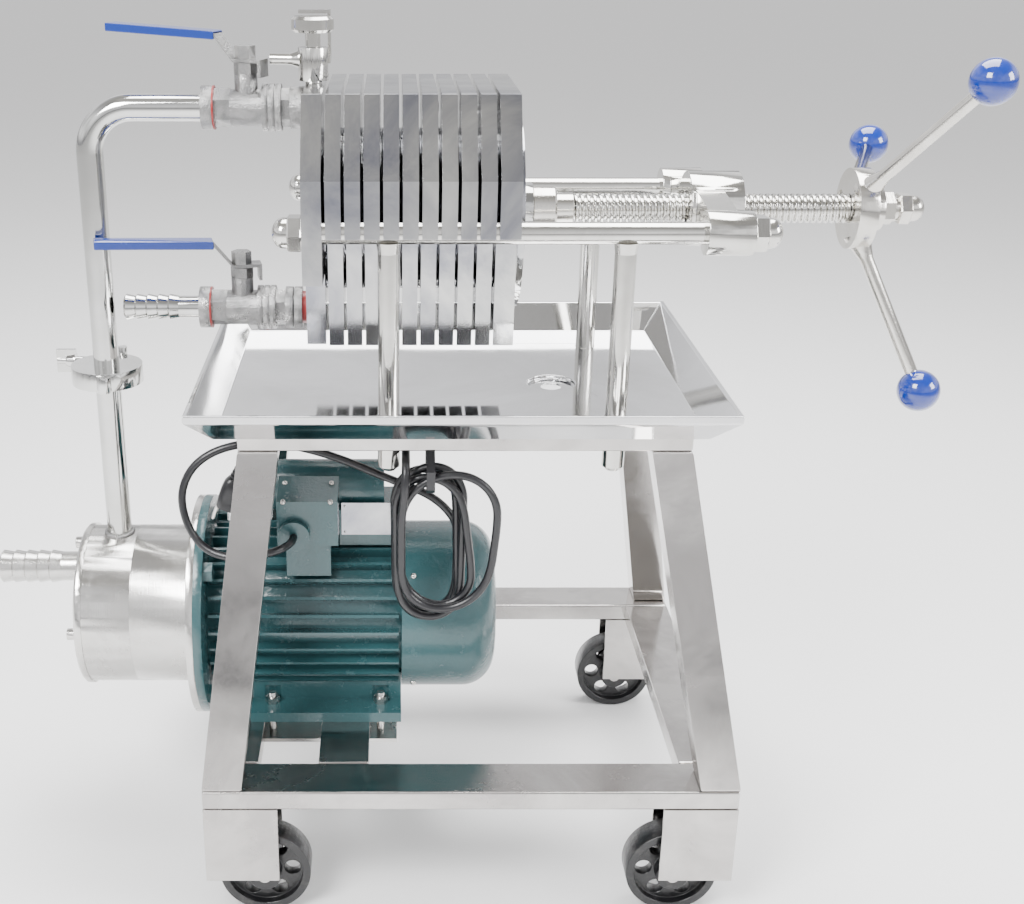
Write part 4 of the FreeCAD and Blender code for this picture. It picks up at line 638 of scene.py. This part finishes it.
def capNut(shape, place, direction, across, hexLength, domeLength):
    placing = pointing(place, direction)
    corner = across / math.sqrt(3)
    rings = [(0, corner * 0.94), (0.0012, corner), (hexLength - 0.0016, corner), (hexLength, corner * 0.9)]
    loops = [[shape.verts.new(placing @ Vector((radius * math.cos(math.pi * side / 3),
                                                radius * math.sin(math.pi * side / 3), along)))
              for side in range(6)] for along, radius in rings]
    joinLoops(shape, loops)
    base = across / 2 - 0.0012
    steps = [(hexLength - 0.001, 0), (hexLength - 0.001, base)]
    for step in range(9):
        angle = math.pi / 2 * step / 8
        steps.append((hexLength + domeLength * 0.25 + domeLength * 0.75 * math.sin(angle), base * math.cos(angle)))
    lathe(shape, steps[:-1] + [(steps[-1][0], 0)], placing, 32)


def makeCapNuts(sizes):
    rodLow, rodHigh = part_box("guide_rods")
    height = (rodLow.z + rodHigh.z) / 2
    spread = (rodHigh.y - rodLow.y) / 2 - sizes["rodRadius"]
    ends = [(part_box("head_plate")[0].x, -1), (rodHigh.x - sizes["hexLength"], 1)]
    shape = bmesh.new()
    for side in (-1, 1):
        for seat, outward in ends:
            capNut(shape, (seat, side * spread, height), (outward, 0, 0), sizes["across"], sizes["hexLength"],
                   sizes["domeLength"])
    addObject("rodCapNuts", meshFrom(shape, "rodCapNuts", 28), "stand", finishes["rodSteel"],
              ("rod_nuts",))
    hub = bmesh.new()
    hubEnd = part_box("handwheel")[1].x
    capNut(hub, (hubEnd - sizes["hubSeat"], 0, height), (1, 0, 0), sizes["hubAcross"], sizes["hubHex"],
           sizes["hubDome"])
    addObject("hubCapNut", meshFrom(hub, "hubCapNut", 28), "screw", finishes["hubSteel"])


makeCapNuts(nutSizes)


# Small repeated parts: screw heads, weld beads, and dark discs painted as the shade in the fan cover's air holes

def pointTree(name, kind, inputs):
    # Puts one small form on every point of the mesh that it is given.
    tree, given, result = newTree(name, "GeometryNodeTree",
                                  [("Geometry", "Geometry", None), ("Turn", "Vector", (0, 0, 0)),
                                   ("Material", "Material", None)] + inputs, [("Geometry", "Geometry")])
    if kind == "bead":
        form = addNode(tree, "GeometryNodeMeshUVSphere", {"Segments": 10, "Rings": 6, "Radius": given["Radius"]})
    else:
        form = addNode(tree, "GeometryNodeMeshCylinder", {"Vertices": 18, "Side Segments": 1,
                                                          "Radius": given["Radius"], "Depth": given["Depth"]})
    placed = addNode(tree, "GeometryNodeInstanceOnPoints", {"Points": given["Geometry"],
                                                            "Instance": form.outputs["Mesh"],
                                                            "Rotation": given["Turn"]})
    real = addNode(tree, "GeometryNodeRealizeInstances", {"Geometry": placed.outputs[0]})
    painted = addNode(tree, "GeometryNodeSetMaterial", {"Geometry": real.outputs[0], "Material": given["Material"]})
    tree.links.new(painted.outputs[0], result["Geometry"])
    return tree


discTree = pointTree("discsOnPoints", "disc", [("Radius", "Float", 0.002), ("Depth", "Float", 0.001)])
beadTree = pointTree("beadsOnPoints", "bead", [("Radius", "Float", 0.002)])


def repeated(name, tree, points, body, slot, material, turn=(0, 0, 0), **values):
    inputs = {"Turn": turn, "Material": material}
    inputs.update({key.title(): value for key, value in values.items()})
    mesh = cleanedMesh(grownMesh(name, tree, inputs, points))
    mesh.materials.clear()
    return addObject(name, mesh, body, material)


def ringPoints(centre, radius, count, axis="X", start=0.0):
    points = []
    for index in range(count):
        angle = math.radians(start) + 2 * math.pi * index / count
        first, second = radius * math.cos(angle), radius * math.sin(angle)
        step = (0, first, second) if axis == "X" else (first, second, 0)
        points.append(tuple(a + b for a, b in zip(centre, step)))
    return points


fanSizes = {
    "rings": [(0.012, 8), (0.021, 14), (0.030, 20), (0.039, 26), (0.048, 32)], "hole": 0.0026,
    "depth": 0.0006, "proud": 0.0001, "screw": 0.0034, "screwsFrom": 0.012,
}


def makeFanCover(sizes):
    # Dark discs on the end of the fan cover, painted shade standing in for its air holes, and the four screws round
    # its rim.
    low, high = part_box("fan_cover")
    middle = (low.z + high.z) / 2
    holeShadeDiscs = [point for radius, count in sizes["rings"]
             for point in ringPoints((high.x + sizes["proud"], 0, middle), radius, count)]
    # Painted shade: the discs, in the wheels' black finish, sit just proud of the end where the air holes would show
    # their dark insides.
    repeated("fanCoverHoleShade", discTree, holeShadeDiscs, "stand", "motor_paint", finishes["wheelBlack"],
             (0, math.pi / 2, 0), radius=sizes["hole"], depth=sizes["depth"])
    screws = ringPoints((low.x + sizes["screwsFrom"], 0, middle), (high.z - low.z) / 2, 4, start=45)
    repeated("fanCoverScrews", beadTree, screws, "stand", "motor_paint", finishes["rodSteel"],
             radius=sizes["screw"])


lidSizes = {"inX": 0.007, "inY": 0.006, "under": 0.0095, "apart": 0.031, "slope": 0.23, "screw": 0.003}


def makeLidScrews(sizes):
    low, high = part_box("terminal_box")
    screws = [(x, low.y + sizes["inY"] + back, high.z - sizes["under"] + back * sizes["slope"])
              for x in (low.x + sizes["inX"], high.x - sizes["inX"]) for back in (0, sizes["apart"])]
    repeated("lidScrews", beadTree, screws, "stand", "motor_paint", finishes["rodSteel"], radius=sizes["screw"])


weldSizes = {"pipeRadius": 0.0127, "out": 0.001, "up": 0.0008, "rim": 0.002, "beads": 40, "bead": 0.0022}


def makeRiserWeld(sizes):
    # A weld bead where the riser pipe stands on the round pump body.
    casingLow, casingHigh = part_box("pump_casing")
    coverLow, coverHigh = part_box("pump_cover")
    pipeLow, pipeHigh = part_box("lower_pipe")
    middle = (casingLow.z + casingHigh.z) / 2
    pumpRadius = (coverHigh.y - coverLow.y) / 2 - sizes["rim"]
    ring = ringPoints(((pipeLow.x + pipeHigh.x) / 2, 0, 0), sizes["pipeRadius"] + sizes["out"], sizes["beads"], "Z")
    beads = [(x, y, middle + math.sqrt(pumpRadius ** 2 - y ** 2) + sizes["up"]) for x, y, _ in ring]
    repeated("riserWeld", beadTree, beads, "stand", "pump_steel", finishes["castSteel"], radius=sizes["bead"])


plateSizes = {
    "across": 0.058, "height": 0.036, "thickness": 0.0006, "fromRight": 0.002, "aboveFoot": 0.020,
    "belowTop": 0.042, "rounding": 0.0002, "rivetAcross": 0.0255, "rivetUp": 0.0145, "rivetOut": 0.0004,
    "rivet": 0.0012,
}


def makeBarePlate(sizes):
    # The bare rating plate on the front of the capacitor's cradle, with a rivet at each corner.
    low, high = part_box("capacitor_box")
    centre = Vector((high.x - sizes["fromRight"] - sizes["across"] / 2, low.y,
                     (low.z + sizes["aboveFoot"] + high.z - sizes["belowTop"]) / 2))
    shape = bmesh.new()
    bmesh.ops.create_cube(shape, size=1)
    for vert in shape.verts:
        vert.co = centre + Vector((vert.co.x * sizes["across"], vert.co.y * sizes["thickness"],
                                   vert.co.z * sizes["height"]))
    bmesh.ops.bevel(shape, geom=shape.edges[:], offset=sizes["rounding"], segments=1, affect="EDGES")
    addObject("ratingPlate", meshFrom(shape, "ratingPlate"), "stand", finishes["plateSteel"])
    rivets = [centre + Vector((side * sizes["rivetAcross"], -sizes["rivetOut"], up * sizes["rivetUp"]))
              for side in (-1, 1) for up in (-1, 1)]
    repeated("plateRivets", beadTree, rivets, "stand", "motor_paint", finishes["rodSteel"], radius=sizes["rivet"])


makeFanCover(fanSizes)
makeLidScrews(lidSizes)
makeRiserWeld(weldSizes)
makeBarePlate(plateSizes)
print("nuts, screws and plates made")


# Floor, backdrop light and lamps

studioSizes = {
    "floor": 60.0, "floorDrop": 0.0005, "floorColor": (0.93, 0.93, 0.93, 1), "floorRoughness": 0.9,
    "worldStrength": 1.5, "aim": (0, 0, 0.45),
}


def makeFloor(sizes):
    shape = bmesh.new()
    bmesh.ops.create_grid(shape, x_segments=1, y_segments=1, size=sizes["floor"] / 2)
    floor = bpy.data.objects.new("studioFloor", meshFrom(shape, "studioFloor"))
    bpy.context.scene.collection.objects.link(floor)
    floor.location.z = -sizes["floorDrop"]
    material = bpy.data.materials.new("floorPaint")
    material.use_nodes = True
    shader = material.node_tree.nodes["Principled BSDF"]
    shader.inputs["Base Color"].default_value = sizes["floorColor"]
    shader.inputs["Roughness"].default_value = sizes["floorRoughness"]
    floor.data.materials.append(material)


def makeWorld(sizes):
    # A room that is bright at eye height and darker overhead, with soft patches, for the polished steel to mirror.
    world = bpy.data.worlds.new("studio")
    bpy.context.scene.world = world
    world.use_nodes = True
    tree = world.node_tree
    background = tree.nodes["Background"]
    place = tree.nodes.new("ShaderNodeTexCoord")
    split = addNode(tree, "ShaderNodeSeparateXYZ", {0: place.outputs["Generated"]})
    heights = addNode(tree, "ShaderNodeValToRGB", {0: split.outputs["Z"]})
    ramp = heights.color_ramp
    ramp.elements[0].position, ramp.elements[0].color = 0.0, (0.25, 0.25, 0.27, 1)
    ramp.elements[1].position, ramp.elements[1].color = 0.9, (0.4, 0.39, 0.37, 1)
    for position, shade in ((0.04, 0.4), (0.1, 0.8), (0.16, 1.0), (0.45, 1.0), (0.65, 0.5)):
        ramp.elements.new(position).color = (shade, shade, shade * 1.02, 1)
    smudgeAndReflectionPatches = addNode(tree, "ShaderNodeTexNoise", {"Vector": place.outputs["Generated"], "Scale": 2.2,
                                                   "Detail": 1.5})
    soft = addNode(tree, "ShaderNodeMapRange", {"Value": smudgeAndReflectionPatches.outputs[0], "From Min": 0.4, "From Max": 0.6,
                                                "To Min": 0.7, "To Max": 1.2})
    mixed = addNode(tree, "ShaderNodeVectorMath", {0: heights.outputs[0], 1: soft.outputs[0]}, operation="MULTIPLY")
    tree.links.new(mixed.outputs[0], background.inputs["Color"])
    background.inputs["Strength"].default_value = sizes["worldStrength"]


lamps = {
    "keyLamp": {"place": (-1.3, -1.6, 2.3), "size": 1.1, "power": 115},
    "topLamp": {"place": (0.2, 0.5, 2.4), "size": 1.6, "power": 115},
    "sideLamp": {"place": (2.2, -0.8, 1.5), "size": 0.9, "power": 50},
}


def makeLamps(lamps, sizes):
    for name, lamp in lamps.items():
        data = bpy.data.lights.new(name, "AREA")
        data.shape = "SQUARE"
        data.size = lamp["size"]
        data.energy = lamp["power"]
        light = bpy.data.objects.new(name, data)
        light.location = lamp["place"]
        aim = Vector(sizes["aim"]) - Vector(lamp["place"])
        light.rotation_euler = aim.to_track_quat("-Z", "Y").to_euler()
        bpy.context.scene.collection.objects.link(light)


makeFloor(studioSizes)
makeWorld(studioSizes)
makeLamps(lamps, studioSizes)
